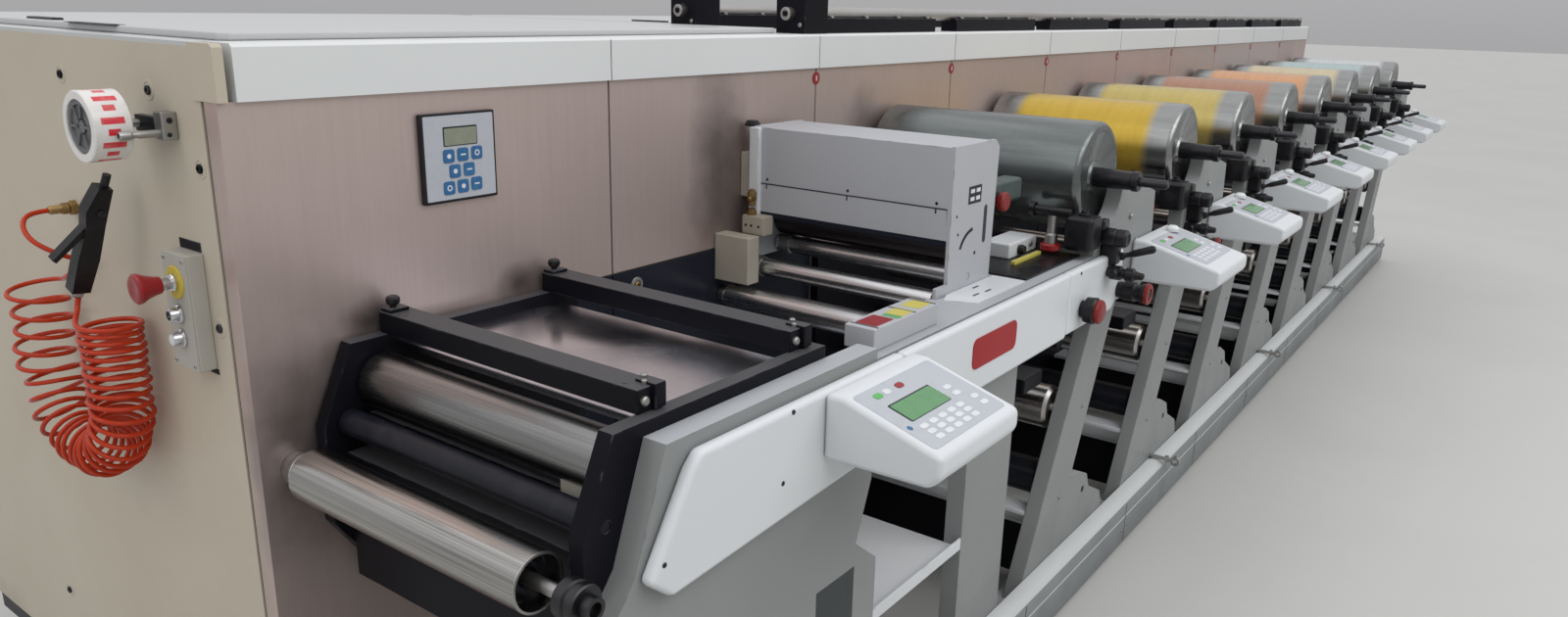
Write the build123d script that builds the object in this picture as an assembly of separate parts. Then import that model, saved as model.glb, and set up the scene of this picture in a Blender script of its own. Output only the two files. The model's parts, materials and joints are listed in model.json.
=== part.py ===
from build123d import *
import os
from math import pi, radians, tan

# Driving sizes in millimetres. X runs along the machine from the infeed end, Y runs from the
# operator towards the cabinet, Z is up. While modelling, X is zero at the cabinet's near end,
# Y is zero at the face of its steel panels and Z is zero at the floor.

# Layout of the bays
bay = 688.0
feed_bays = 2
unit_count = 8
post_width = 45.0
bay_count = feed_bays + unit_count
cabinet_length = 2 * post_width + bay_count * bay

# Cabinet
cabinet_depth = 1300.0
cabinet_height = 1430.0
plinth_height = 90.0
plinth_setback = 50.0
steel_thickness = 4.0
panel_gap = 4.0
steel_low = 150.0
band_height = 78.0
band_depth = 57.0
band_proud = 9.0
band_bevel = 5.0
deck_thickness = 6.0
lid_thickness = 12.0
lid_gap = 8.0
lid_setback = 430.0
lid_corner = 12.0
door_thickness = 18.0
door_margin = 30.0
door_bevel = 3.0
handle_length = 160.0
handle_width = 22.0
handle_depth = 24.0
handle_inset = 38.0
end_skin = 3.0
end_skin_low = 130.0
end_skin_start = 43.0
panel_return = 35.0
feed_panel_x = 610.0
feed_panel_top = 976.0
cap_proud = 3.0
cap_length = 15.0
cap_gap = 12.0

# Slide rails on the deck
rail_radius = 15.0
front_rail_y = 50.0
back_rail_y = 385.0
rail_rise = 45.0
rail_overhang = 60.0
rail_base_length = 560.0
rail_base_width = 52.0
rail_base_height = 36.0
carriage_length = 95.0
carriage_offset = 20.0
carriage_width = 84.0
carriage_height = 82.0

# Drums
drum_radius = 132.0
drum_axis_z = 1115.0
drum_offset = 12.0
drum_clearance = 7.0
drum_back = 22.0
drum_wall = 9.0
drum_recess = 14.0
drum_bevel = 12.0
hub_radius = 29.0
hub_reach = 105.0
spindle_radius = 17.0
spindle_reach = 62.0
boss_radius = 62.0
boss_depth = 18.0
running_gap = 0.3

# Side frames of the printing units, seen from the operator side
frame_face = 632.0
frame_thickness = 40.0
leg_thickness = 40.0
leg_face = frame_face - frame_thickness
leg_back = leg_face - leg_thickness
beam_low = 800.0
beam_top = 945.0
leg_low_left = -280.0
leg_low_right = 269.0
leg_top_left = 137.0
leg_top_right = 287.0
leg_ankle_x = 6.0
leg_ankle_z = 336.0
instep = [(55.0, -6.0), (125.0, -38.0), (149.0, -83.0)]
toe_length = 17.0
toe_drop = 132.0
toe_height = 64.0
inner_plate_width = 88.0
inner_plate_reach = 48.0
inner_plate_low = 380.0
inner_plate_high = 880.0
inner_plate_thickness = 12.0
fin_left = -110.0
fin_right = 312.0
fin_shoulder = 985.0
fin_height = 1096.0
fin_slope = [(-142.0, -12.0), (-10.0, -44.0), (0.0, -127.0)]
fin_heel = 60.0
fin_heel_rise = 20.0
saddle_start_x = -51.0
saddle_end_x = 44.0
saddle_middle_x = 18.0
saddle_sag = 30.0
saddle_drop = 89.0
wall_thickness = 22.0
wall_low = 90.0
wall_high = 900.0

# Pieces between the legs, placed from the drum's axis
upper_roller = (-45.0, 530.0, 55.0)
lower_roller = (-70.0, 345.0, 46.0)
bar_width = 60.0
bar_thickness = 10.0
bar_x = -185.0
bar_z = 284.0
tray_x = -81.0
tray_front = 520.0
tray_width = 100.0
tray_low = 62.0
tray_top = 204.0

# Rail along the floor and the beam behind it
rail_proud = 8.0
rail_height = 150.0
rail_bevel = 22.0
rail_lift = 12.0
rail_seam_z = 98.0
rail_seam_width = 4.0
rail_start_x = 762.0
base_beam_width = 60.0
base_beam_top = 100.0
foot_radius = 26.0

# Operator consoles
console_width = 258.0
console_front = 855.0
console_flat = 34.0
console_drop = 50.0
console_nose = 34.0
console_chin = 20.0
console_back_height = 107.0
console_offset = 160.0
feed_console_x = 516.0

# Grips and knobs on the unit frames
grip_x = -5.0
grip_radius = 24.0
knob_radius = 20.0
grip_length = 56.0
grip_drop = 121.0
knob_drop = 191.0
knob_x = 23.0
knob_inset = 10.0
low_knob_x = 20.0
low_knob_drop = 246.0

# Infeed: side frame, cover and splice table
cover_thickness = 23.0
cover_face = frame_face + cover_thickness
cover_gap = 1.0
infeed_x = 103.0
infeed_end_x = 757.0
infeed_rise = 18.0
infeed_toe = 43.0
infeed_throat = 34.0
infeed_shoulder = 93.0
infeed_waist = 25.0
infeed_step = 53.0
infeed_hip = 94.0
infeed_hip_rise = 42.0
infeed_hip_drop = 12.0
infeed_neck_drop = 67.0
end_piece_length = 337.0
beam_overrun = 38.0
cover_lip = 5.0
cover_start = 37.0
cover_shoulder = 117.0
cover_crown = 137.0
cover_crown_drop = 20.0
cover_tail = 80.0
cover_tail_drop = 40.0
end_piece_corner = 50.0
end_piece_rise = 40.0
ledge_start_x = 880.0
ledge_depth = 77.0
ledge_thickness = 20.0
pan_x = 700.0
pan_z = 392.0
pan_thickness = 5.0
pan_lip = 26.0
post_x = 1155.0
post_length = 220.0
window_x = 549.0
window_size = 112.0
window_top = 585.0
window_height = 170.0
window_plate = 3.0
badge_x = 1010.0
badge_length = 190.0
badge_low = 846.0
badge_height = 60.0
badge_thickness = 2.0
badge_corner = 16.0
near_plate = 26.0
far_plate = 26.0
far_gap = 6.0
table_z = 962.0
bar_rise = 21.0
table_end_x = 560.0
table_thickness = 12.0
clamp_width = 48.0
clamp_height = 34.0
first_clamp_x = 231.0
second_clamp_x = 566.0
clamp_overhang = 20.0
splice_plate_drop = 380.0
splice_plate_overrun = 50.0
splice_plate_lift = 60.0
splice_crest = 47.0
splice_heel = 80.0
splice_heel_rise = 120.0
apron_thickness = 10.0
lower_apron_x = 120.0
upper_apron_x = 165.0
apron_low = 600.0
apron_shelf = 812.0
apron_top = 866.0
splice_arm_start = 130.0
splice_arm_height = 60.0
splice_arm_drop = 182.0

# Rollers
journal_radius = 8.0
roller_end_gap = 5.0
draw_x = 56.0
draw_z = 800.0
draw_radius = 41.0
draw_wall = 7.0
draw_recess = 30.0
draw_front = 545.0
draw_back = 45.0
draw_shaft_radius = 12.0
draw_knob_radius = 27.0
draw_knob_length = 50.0
draw_shaft_reach = 50.0
table_roller_x = 190.0
table_roller_z = 915.0
table_roller_radius = 44.0
guide_x = 128.0
guide_z = 862.0
guide_radius = 21.0
web_roller_radius = 20.0
idle_x = 1076.0
idle_z = 865.0
idle_radius = 28.0

# Corona treater
treater_x = 1136.0
treater_depth = 190.0
treater_front = 528.0
treater_back = 34.0
treater_top = 1240.0
treater_wall = 8.0
hood_low = 1052.0
hood_setback = 14.0
hood_lip = 2.0
hood_chamfer = 12.0
hood_shoulder = 16.0
ear_drop = 36.0
ear_rise = 20.0
ear_neck = 6.0
ear_play = 3.0
ear_reach = 44.0
upper_web_x = 90.0
upper_web_rise = 22.0
lower_web_drop = 10.0
fitting_width = 40.0
fitting_depth = 94.0
fitting_drop = 40.0
fitting_rise = 65.0
back_fitting_rise = 28.0
back_fitting_height = 100.0

# Label box on the beam
label_box_x = 725.0
label_box_length = 218.0
label_box_width = 60.0
label_box_height = 40.0
label_box_setback = 20.0

# Things on the near end face, placed by their distance behind the steel face
stop_y = 126.5
stop_z = 1041.5
stop_width = 71.0
stop_height = 177.0
stop_depth = 28.0
stop_button_radius = 20.0
stop_button_reach = 58.0
small_button_radius = 12.0
small_button_reach = 16.0
stop_button_rise = 45.0
small_button_rises = (-3.0, -40.0)
tape_x = -75.0
tape_y = 186.0
tape_z = 1312.0
tape_radius = 50.0
tape_width = 50.0
tape_bore = 38.0
arm_y = 128.0
arm_stand_off = 16.0
arm_radius = 6.0
arm_half_width = 12.0
arm_half_height = 20.0
guide_rod_drop = 10.0
guide_rod_radius = 5.0
hub_inset = 4.0
inlet_y = 512.0
inlet_z = 1144.0
inlet_reach = 42.0
inlet_radius = 9.0

# Air hose and blow gun
hose_diameter = 8.0
coil_diameter = 94.0
coil_x = -56.0
coil_near_y = 304.0
coil_far_y = 575.0
coil_top = 1012.0
coil_low = 755.0
coil_corner = 120.0
gun_top = (-40.0, 272.0, 1230.0)
gun_end = (-80.0, 343.0, 1037.0)
gun_thickness = 24.0
gun_lever_inset = 4.0
gun_handle = [(-12.0, 12.0), (14.0, 10.0), (17.0, 70.0), (16.0, 118.0), (22.0, 150.0)]
gun_head = 20.0
gun_back = [(-10.0, 130.0), (-14.0, 70.0)]
gun_head_half = (12.0, -8.0)
gun_lever = [(12.0, 112.0), (12.0, 132.0), (50.0, 66.0), (44.0, 62.0)]
nozzle_radius = 6.0
nozzle_length = 30.0
fitting_radius = 7.0
fitting_length = 16.0
arc_share = 0.45

# Keypad box on the first steel panel
keypad_x = 382.0
keypad_drop = 187.0
keypad_size = 146.0
keypad_depth = 9.0

nodes = {}


def drum_x(unit):
    return post_width + (feed_bays + unit + 0.5) * bay + drum_offset


def rail_start():
    return post_width + feed_bays * bay - rail_overhang


def block(x0, x1, y0, y1, z0, z1):
    size = Box(x1 - x0, y1 - y0, z1 - z0)
    return Pos((x0 + x1) / 2, (y0 + y1) / 2, (z0 + z1) / 2) * size


def rod_x(y, z, radius, x0, x1):
    return Pos((x0 + x1) / 2, y, z) * Rot(0, 90, 0) * Cylinder(radius, x1 - x0)


def rod_y(x, z, radius, y0, y1):
    return Pos(x, (y0 + y1) / 2, z) * Rot(90, 0, 0) * Cylinder(radius, y1 - y0)


def rod_z(x, y, radius, z0, z1):
    return Pos(x, y, (z0 + z1) / 2) * Cylinder(radius, z1 - z0)


def plate_xz(outline, y0, y1):
    """A flat plate whose outline lies in the X-Z plane, from y0 to y1."""
    edge = Polyline(*outline, close=True) if isinstance(outline, list) else outline
    plane = Plane((0, y1, 0), x_dir=(1, 0, 0), z_dir=(0, -1, 0))
    return extrude(plane * make_face(edge), y1 - y0)


def plate_yz(points, x0, x1):
    """A flat plate whose outline lies in the Y-Z plane, from x0 to x1."""
    face = make_face(Polyline(*points, close=True))
    plane = Plane((x0, 0, 0), x_dir=(0, 1, 0), z_dir=(1, 0, 0))
    return extrude(plane * face, x1 - x0)


def add(name, *solids):
    nodes.setdefault(name, []).extend(solids)


# Cabinet
def steel_panel(x0, x1, top):
    """A front sheet; the two at the cabinet's corners are folded round them."""
    sheet = block(x0, x1, 0, steel_thickness, steel_low, top)
    if x0 == 0:
        sheet += block(0, end_skin, 0, panel_return, steel_low, top)
    if x1 == cabinet_length:
        sheet += block(x1 - end_skin, x1, 0, panel_return, steel_low, top)
    feed_end = post_width + feed_bays * bay
    return sheet - block(feed_panel_x, feed_end, 0, steel_thickness, steel_low, feed_panel_top)


def band_strip(x0, x1, low):
    strip = block(x0, x1, -band_proud, band_depth, low, cabinet_height)
    front_top = strip.edges().filter_by(Axis.X).group_by(Axis.Z)[-1].sort_by(Axis.Y)[0]
    return chamfer(front_top, band_bevel)


def make_cabinet():
    top = cabinet_height - deck_thickness
    band_low = cabinet_height - band_height
    end = cabinet_length - end_skin
    core = block(end_skin, end, steel_thickness, cabinet_depth, plinth_height, top)
    core -= block(0, cabinet_length, 0, band_depth, band_low, cabinet_height)
    add("cabinet_body", core)
    inset = plinth_setback
    add("plinth", block(inset, cabinet_length - inset, inset, cabinet_depth - inset, 0, plinth_height))
    skin = [
        (end_skin_start, end_skin_low),
        (cabinet_depth, end_skin_low),
        (cabinet_depth, top),
        (band_depth, top),
        (band_depth, band_low),
        (end_skin_start, band_low),
    ]
    add("end_panels", plate_yz(skin, 0, end_skin), plate_yz(skin, end, cabinet_length))
    for number in range(bay_count):
        x0 = post_width + number * bay + panel_gap / 2 if number else 0
        x1 = post_width + (number + 1) * bay - panel_gap / 2 if number < bay_count - 1 else cabinet_length
        add("steel_panels", steel_panel(x0, x1, band_low))
        if number < feed_bays:
            start = max(x0, feed_panel_x + panel_gap)
            high = feed_panel_top - panel_gap
            add("feed_panels", block(start, x1, 0, steel_thickness, steel_low, high))
    cap_end = cap_length - cap_proud
    band_start = cap_end + cap_gap
    add("top_band", band_strip(band_start, cabinet_length - band_start, band_low))
    for x0 in (-cap_proud, cabinet_length - cap_end):
        add("end_panels", band_strip(x0, x0 + cap_length, band_low))
    add("deck", block(0, cabinet_length, band_depth, cabinet_depth, top, cabinet_height))


def make_lids():
    top = cabinet_height + lid_thickness
    for number in range(bay_count // 2):
        x0 = post_width + number * 2 * bay + lid_gap / 2
        x1 = x0 + 2 * bay - lid_gap
        y0 = lid_setback
        if number == 0:
            x1 = rail_start() - lid_gap
            y0 = band_depth + lid_gap
        lid = block(x0, x1, y0, cabinet_depth - lid_gap, cabinet_height, top)
        add("deck_lids", chamfer(lid.edges().filter_by(Axis.Z), lid_corner))


def make_doors():
    low = plinth_height + door_margin
    high = cabinet_height - 2 * door_margin
    back = cabinet_depth + door_thickness
    handle_low = (low + high + handle_length) / 2
    for number in range(bay_count):
        x0 = post_width + number * bay + panel_gap
        x1 = x0 + bay - 2 * panel_gap
        door = block(x0, x1, cabinet_depth, back, low, high)
        door = chamfer(door.faces().sort_by(Axis.Y)[-1].edges(), door_bevel)
        edge = x1 - handle_inset
        grip = block(edge - handle_width, edge, back, back + handle_depth, handle_low, handle_low + handle_length)
        add("back_doors", door)
        add("door_handles", grip)


# Round slide rails on the deck
def make_rails():
    axis_z = cabinet_height + rail_rise
    start = rail_start()
    end = cabinet_length - post_width
    for y in (front_rail_y, back_rail_y):
        groove = rod_x(y, axis_z, rail_radius + running_gap, start - 1, end + 1)
        add("slide_rails", rod_x(y, axis_z, rail_radius, start, end))
        half = rail_base_width / 2
        high = cabinet_height + rail_base_height
        for number in range(unit_count):
            x0 = post_width + (feed_bays + number + 0.5) * bay - rail_base_length / 2
            base = block(x0, x0 + rail_base_length, y - half, y + half, cabinet_height, high)
            add("rail_bases", base - groove)
        x0 = start + carriage_offset
        half = carriage_width / 2
        high = cabinet_height + carriage_height
        carriage = block(x0, x0 + carriage_length, y - half, y + half, cabinet_height, high)
        add("rail_bases", carriage - groove)


# Printing units
def unit_leg(x):
    """Slanted leg with its foot, behind the rail cover."""
    low = base_beam_top
    outline = [
        (x + leg_low_left, low),
        (x + leg_top_left, beam_top),
        (x + leg_top_right, beam_top),
        (x + leg_ankle_x, leg_ankle_z),
    ]
    outline += [(x + leg_ankle_x + dx, leg_ankle_z + dz) for dx, dz in instep]
    outline += [
        (x + leg_low_right - toe_length, leg_ankle_z - toe_drop),
        (x + leg_low_right, low + toe_height),
        (x + leg_low_right, low),
    ]
    return plate_xz(outline, -leg_face, -leg_back) + inner_plate(x)


def inner_plate(x):
    """Plate behind the leg that carries the rollers and shows beside the leg's right edge."""
    slope = (leg_top_right - leg_ankle_x) / (beam_top - leg_ankle_z)
    corners = []
    for z in (inner_plate_low, inner_plate_high):
        edge = x + leg_ankle_x + (z - leg_ankle_z) * slope + inner_plate_reach
        corners.append(((edge - inner_plate_width, z), (edge, z)))
    (low_left, low_right), (high_left, high_right) = corners
    outline = [low_left, low_right, high_right, high_left]
    return plate_xz(outline, -leg_back, -leg_back + inner_plate_thickness)


def unit_fin(x):
    """Upper plate of one unit, hollowed like a saddle beside the drum's hub."""
    left = x + fin_left
    right = x + fin_right
    saddle_start = (x + saddle_start_x, fin_height - saddle_drop)
    saddle_end = (x + saddle_end_x, fin_height)
    saddle_middle = (x + saddle_middle_x, fin_height - saddle_drop + saddle_sag)
    outline = Polyline(
        saddle_end,
        *[(right + dx, fin_height + dz) for dx, dz in fin_slope],
        (right, beam_low + fin_heel_rise),
        (right - fin_heel, beam_low),
        (left, beam_low),
        (left, fin_shoulder),
        saddle_start,
    )
    outline += ThreePointArc(saddle_start, saddle_middle, saddle_end)
    return plate_xz(outline, -frame_face, -leg_face)


def drum(x):
    front = -(leg_face - drum_clearance)
    body = rod_y(x, drum_axis_z, drum_radius, front, -drum_back)
    rim = body.edges().group_by(Axis.Y)[0]
    body = chamfer(rim, drum_bevel)
    body -= rod_y(x, drum_axis_z, drum_radius - drum_wall, front, front + drum_recess)
    hub_front = front - hub_reach
    body += rod_y(x, drum_axis_z, hub_radius, hub_front, front + drum_recess)
    body += rod_y(x, drum_axis_z, spindle_radius, hub_front - spindle_reach, hub_front)
    return body + rod_y(x, drum_axis_z, spindle_radius, -drum_back, -running_gap)


def shaft_boss(x, z, shaft_radius, radius):
    boss = rod_y(x, z, radius, -boss_depth, 0)
    return boss - rod_y(x, z, shaft_radius + running_gap, -boss_depth - 1, 0)


def console(x, back):
    """Sloped operator console with its back at the given distance before the steel face."""
    front_top = beam_top - console_drop
    points = [
        (-back, beam_top),
        (-back - console_flat, beam_top),
        (-console_front, front_top),
        (-console_front, front_top - console_nose),
        (-console_front + console_chin, front_top - console_nose - console_chin),
        (-back, beam_top - console_back_height),
    ]
    return plate_yz(points, x, x + console_width)


def make_units():
    for unit in range(unit_count):
        x = drum_x(unit)
        add("drum_%d" % (unit + 1), drum(x))
        add("shaft_bosses", shaft_boss(x, drum_axis_z, spindle_radius, boss_radius))
        add("unit_frames", unit_leg(x) + unit_fin(x))
        add("consoles", console(x + console_offset, frame_face))
        make_grip(x, cover_face if unit == 0 else frame_face)
        make_lower_pieces(x)


def make_grip(x, seat):
    """A grip on the fin, and two knobs below it on the surface that shows there."""
    z = fin_height - grip_drop
    knob_z = fin_height - knob_drop
    low_z = fin_height - low_knob_drop
    grip = rod_y(x + grip_x, z, grip_radius, -frame_face - grip_length, -frame_face)
    knob = rod_y(x + knob_x, knob_z, knob_radius, -seat - grip_length + knob_inset, -seat)
    low_knob = rod_y(x + low_knob_x, low_z, grip_radius, -seat - grip_length, -seat)
    add("grips", grip, knob, low_knob)


def make_lower_pieces(x):
    wall = -wall_thickness
    half = bay / 2 - panel_gap
    add("far_walls", block(x - drum_offset - half, x - drum_offset + half, wall, 0, wall_low, wall_high))
    for roller_x, roller_z, radius in (upper_roller, lower_roller):
        add("lower_rollers", rod_y(x + roller_x, roller_z, radius, -leg_back, wall))
    start = x + bar_x
    add("cross_bars", block(start, start + bar_width, -leg_back, wall, bar_z, bar_z + bar_thickness))
    start = x + tray_x
    end = start + tray_width
    add("cross_bars", block(start, end, -tray_front, wall, tray_top, tray_top + bar_thickness))
    add("trays", block(start, end, -tray_front, wall, tray_low, tray_top))


# Base along the floor
def make_base():
    front = -frame_face - rail_proud
    back = -leg_face
    points = [
        (front, rail_lift),
        (back, rail_lift),
        (back, rail_height),
        (front + rail_bevel, rail_height),
        (front, rail_height - rail_bevel / 2),
        (front, rail_seam_z),
        (front + rail_seam_width, rail_seam_z),
        (front + rail_seam_width, rail_seam_z - rail_seam_width),
        (front, rail_seam_z - rail_seam_width),
    ]
    add("floor_rail", plate_yz(points, rail_start_x, cabinet_length))
    beam = block(rail_start_x, cabinet_length, back, back + base_beam_width, rail_lift, base_beam_top)
    step = (cabinet_length - rail_start_x - bay / 2) / unit_count
    for number in range(unit_count + 1):
        x = rail_start_x + bay / 4 + number * step
        beam += rod_z(x, back + base_beam_width / 2, foot_radius, 0, rail_lift)
    add("base_beam", beam)


# Infeed
def make_infeed():
    face = -frame_face
    inner = -leg_face
    beam_end = drum_x(0) + fin_left
    top = beam_top + infeed_rise
    step = infeed_end_x - infeed_step
    waist = infeed_end_x - infeed_waist
    plate = [
        (infeed_x + infeed_shoulder, top),
        (infeed_x + infeed_throat, beam_low),
        (infeed_x, beam_low - infeed_toe),
        (infeed_x, 0),
        (waist, 0),
        (waist, window_top - infeed_hip_drop),
        (infeed_end_x - infeed_hip, window_top + infeed_hip_rise),
        (step, beam_low - infeed_neck_drop),
        (step, top),
    ]
    frame = plate_xz(plate, face, inner)
    window = block(window_x, window_x + window_size, face, face + window_plate, window_top - window_height, window_top)
    frame -= window
    add("window_plate", window)
    frame += block(step, beam_end, face, inner, beam_low, beam_top)
    ledge = block(ledge_start_x, beam_end, inner, inner + ledge_depth, beam_top - ledge_thickness, beam_top)
    ear_start = treater_x - ear_reach - ear_play
    ear = block(ear_start, treater_x + ear_neck + ear_play, -treater_front - ear_play, 0, 0, beam_top)
    frame += ledge - ear
    frame += block(post_x, post_x + post_length, inner, -leg_back, base_beam_top, beam_top - ledge_thickness)
    frame -= rod_y(idle_x, idle_z, journal_radius + running_gap, inner - boss_depth, inner)
    add("infeed_frame", frame)
    pan = block(pan_x, post_x, inner, 0, pan_z, pan_z + pan_thickness)
    add("infeed_pan", pan + block(pan_x, post_x, inner, inner + pan_thickness, pan_z, pan_z + pan_lip))
    make_covers()
    add("consoles", console(feed_console_x, cover_face))
    make_splice()


def make_covers():
    face = -cover_face
    back = -frame_face
    beam_end = drum_x(0) + beam_overrun
    joint = beam_end - end_piece_length
    low = beam_low - cover_lip
    feed_cover = [
        (infeed_x + cover_start, low),
        (infeed_x + cover_shoulder, beam_top - cover_crown_drop),
        (infeed_x + cover_crown, beam_top),
        (infeed_end_x, beam_top),
        (infeed_end_x, low),
        (infeed_x + cover_tail, beam_low - cover_tail_drop),
    ]
    end_piece = [
        (joint + cover_gap, beam_top),
        (beam_end, beam_top),
        (beam_end, beam_low + end_piece_rise),
        (beam_end - end_piece_corner, beam_low),
        (joint + cover_gap, beam_low),
    ]
    add("infeed_covers", plate_xz(feed_cover, face, back))
    add("infeed_covers", block(infeed_end_x + cover_gap, joint, face, back, low, beam_top))
    add("infeed_covers", plate_xz(end_piece, face, back))
    high = badge_low + badge_height
    badge = block(badge_x, badge_x + badge_length, face - badge_thickness, face, badge_low, high)
    add("red_plate", fillet(badge.edges().filter_by(Axis.Y), badge_corner))


def make_splice():
    inner = -leg_face
    far = -far_gap
    face0 = inner + near_plate
    face1 = far - far_plate
    top = table_z + bar_rise
    plate_start = draw_x + draw_knob_radius + roller_end_gap
    low = table_z - splice_plate_drop
    plate_end = table_end_x + splice_plate_overrun
    side = [
        (plate_start + splice_heel, low),
        (plate_start, low + splice_heel_rise),
        (plate_start, draw_z + splice_plate_lift),
        (table_roller_x - splice_crest, top),
        (plate_end, top),
        (plate_end, low),
    ]
    turning = (
        ("table_roller", table_roller_x, table_roller_z, table_roller_radius),
        ("guide_roller", guide_x, guide_z, guide_radius),
    )
    for y0, y1 in ((inner, face0), (face1, far)):
        wall = plate_xz(side, y0, y1)
        for name, x, z, radius in turning:
            wall -= rod_y(x, z, journal_radius + running_gap, y0, y1)
        add("splice_frame", wall)
    for name, x, z, radius in turning:
        body = rod_y(x, z, radius, face0 + roller_end_gap, face1 - roller_end_gap)
        add(name, body + rod_y(x, z, journal_radius, inner + 2, far - 2))
    arm_low = table_z - splice_arm_drop
    add("splice_frame", block(table_roller_x + splice_arm_start, table_end_x, far, 0, arm_low, arm_low + splice_arm_height))
    apron = [
        (lower_apron_x, apron_low),
        (lower_apron_x + apron_thickness, apron_low),
        (lower_apron_x + apron_thickness, apron_shelf - apron_thickness),
        (upper_apron_x + apron_thickness, apron_shelf - apron_thickness),
        (upper_apron_x + apron_thickness, apron_top),
        (upper_apron_x, apron_top),
        (upper_apron_x, apron_shelf),
        (lower_apron_x, apron_shelf),
    ]
    add("splice_apron", plate_xz(apron, face0, face1))
    for x in (first_clamp_x, second_clamp_x):
        half = clamp_width / 2
        bar = block(x - half, x + half, inner + clamp_overhang, face1 + clamp_overhang, top, top + clamp_height)
        add("clamp_bars", bar)
    table_start = table_roller_x + table_roller_radius + roller_end_gap
    add("splice_table", block(table_start, table_end_x, face0, face1, table_z - table_thickness, table_z))
    add("draw_roller", draw_roller())
    add("shaft_bosses", shaft_boss(draw_x, draw_z, draw_shaft_radius, draw_knob_radius))


def draw_roller():
    front = -draw_front
    body = rod_y(draw_x, draw_z, draw_radius, front, -draw_back)
    body -= rod_y(draw_x, draw_z, draw_radius - draw_wall, front, front + draw_recess)
    knob_back = front - draw_shaft_reach
    body += rod_y(draw_x, draw_z, draw_shaft_radius, knob_back, -running_gap)
    return body + rod_y(draw_x, draw_z, draw_knob_radius, knob_back - draw_knob_length, knob_back)


# Corona treater
def make_treater():
    x0 = treater_x
    x1 = x0 + treater_depth
    front = -treater_front
    back = -treater_back
    wall = treater_wall
    upper = (x0 + upper_web_x, beam_top + upper_web_rise)
    lower = (x0 - web_roller_radius, beam_top - lower_web_drop)
    ear = x0 - ear_reach
    end_plate = [
        (ear, beam_top - ear_drop),
        (x0 + ear_neck, beam_top - ear_drop),
        (x0 + ear_neck, beam_top),
        (x1, beam_top),
        (x1 + wall, treater_top - hood_shoulder),
        (x1 - hood_chamfer, treater_top),
        (x0, treater_top),
        (x0, beam_top + ear_rise),
        (ear, beam_top + ear_rise),
    ]
    hood_end = x1 - hood_setback
    hood = block(x0, hood_end, front + wall, back - wall, hood_low, treater_top - hood_lip)
    for y in (front, back - wall):
        plate = plate_xz(end_plate, y, y + wall)
        for x, z in (upper, lower):
            plate -= rod_y(x, z, journal_radius + running_gap, y, y + wall)
        hood += plate
    add("treater_hood", hood)
    for name, (x, z) in (("treater_roller_upper", upper), ("treater_roller_lower", lower)):
        body = rod_y(x, z, web_roller_radius, front + wall + roller_end_gap, back - wall - roller_end_gap)
        add(name, body + rod_y(x, z, journal_radius, front + 1, back - 1))
    idle = rod_y(idle_x, idle_z, idle_radius, -leg_face + roller_end_gap, -boss_depth - roller_end_gap)
    idle += rod_y(idle_x, idle_z, journal_radius, -leg_face - boss_depth + running_gap, -running_gap)
    add("idle_roller", idle)
    add("shaft_bosses", shaft_boss(idle_x, idle_z, journal_radius, web_roller_radius))
    fitting_x = x0 - ear_reach - fitting_width - roller_end_gap
    fitting_end = fitting_x + fitting_width
    low = beam_top - fitting_drop
    add("treater_fittings", block(fitting_x, fitting_end, -fitting_depth, 0, low, beam_top + fitting_rise))
    low = hood_low + back_fitting_rise
    add("treater_fittings", block(x0, hood_end, back, 0, low, low + back_fitting_height))
    box_y = -frame_face + label_box_setback
    top = beam_top + label_box_height
    add("label_box", block(label_box_x, label_box_x + label_box_length, box_y, box_y + label_box_width, beam_top, top))


# Keypad, stop box and tape holder
def make_fittings():
    half = keypad_size / 2
    low = cabinet_height - keypad_drop - half
    add("wall_keypad", block(keypad_x - half, keypad_x + half, -keypad_depth, 0, low, low + keypad_size))
    half_width = stop_width / 2
    half_height = stop_height / 2
    front = -stop_depth
    box = block(front, 0, stop_y - half_width, stop_y + half_width, stop_z - half_height, stop_z + half_height)
    z = stop_z + stop_button_rise
    middle = front - stop_button_reach / 2
    box += rod_x(stop_y, z, stop_button_radius / 2, middle, front)
    box += rod_x(stop_y, z, stop_button_radius, front - stop_button_reach, middle)
    for rise in small_button_rises:
        box += rod_x(stop_y, stop_z + rise, small_button_radius, front - small_button_reach, front)
    add("stop_box", box)
    hub_start = tape_x + tape_width / 2
    front = -arm_stand_off - arm_radius
    back = -arm_stand_off + arm_radius
    arm = block(front, 0, arm_y - arm_half_width, arm_y + arm_half_width, tape_z - arm_half_height, tape_z + arm_half_height)
    arm += block(front, back, arm_y, tape_y + arm_half_width, tape_z - arm_half_width, tape_z + arm_half_width)
    arm += rod_x(arm_y, tape_z - guide_rod_drop, guide_rod_radius, tape_x, front)
    arm += rod_x(tape_y, tape_z, tape_bore - running_gap, tape_x - tape_width / 2 + hub_inset, hub_start)
    arm += rod_x(tape_y, tape_z, arm_radius, hub_start, front)
    add("tape_arm", arm)
    roll = rod_x(tape_y, tape_z, tape_radius, tape_x - tape_width / 2, hub_start)
    add("tape_roll", roll - rod_x(tape_y, tape_z, tape_bore, tape_x - tape_width / 2, hub_start))


# Air hose and blow gun
def corner_radii(points):
    """Largest tangent arcs for the inner corners of a route."""
    route = [Vector(*point) for point in points]
    radii = []
    for before, corner, after in zip(route, route[1:], route[2:]):
        turn = radians((corner - before).get_angle(after - corner))
        shorter = min((corner - before).length, (after - corner).length)
        radii.append(arc_share * shorter / tan(turn / 2))
    return radii


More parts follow.
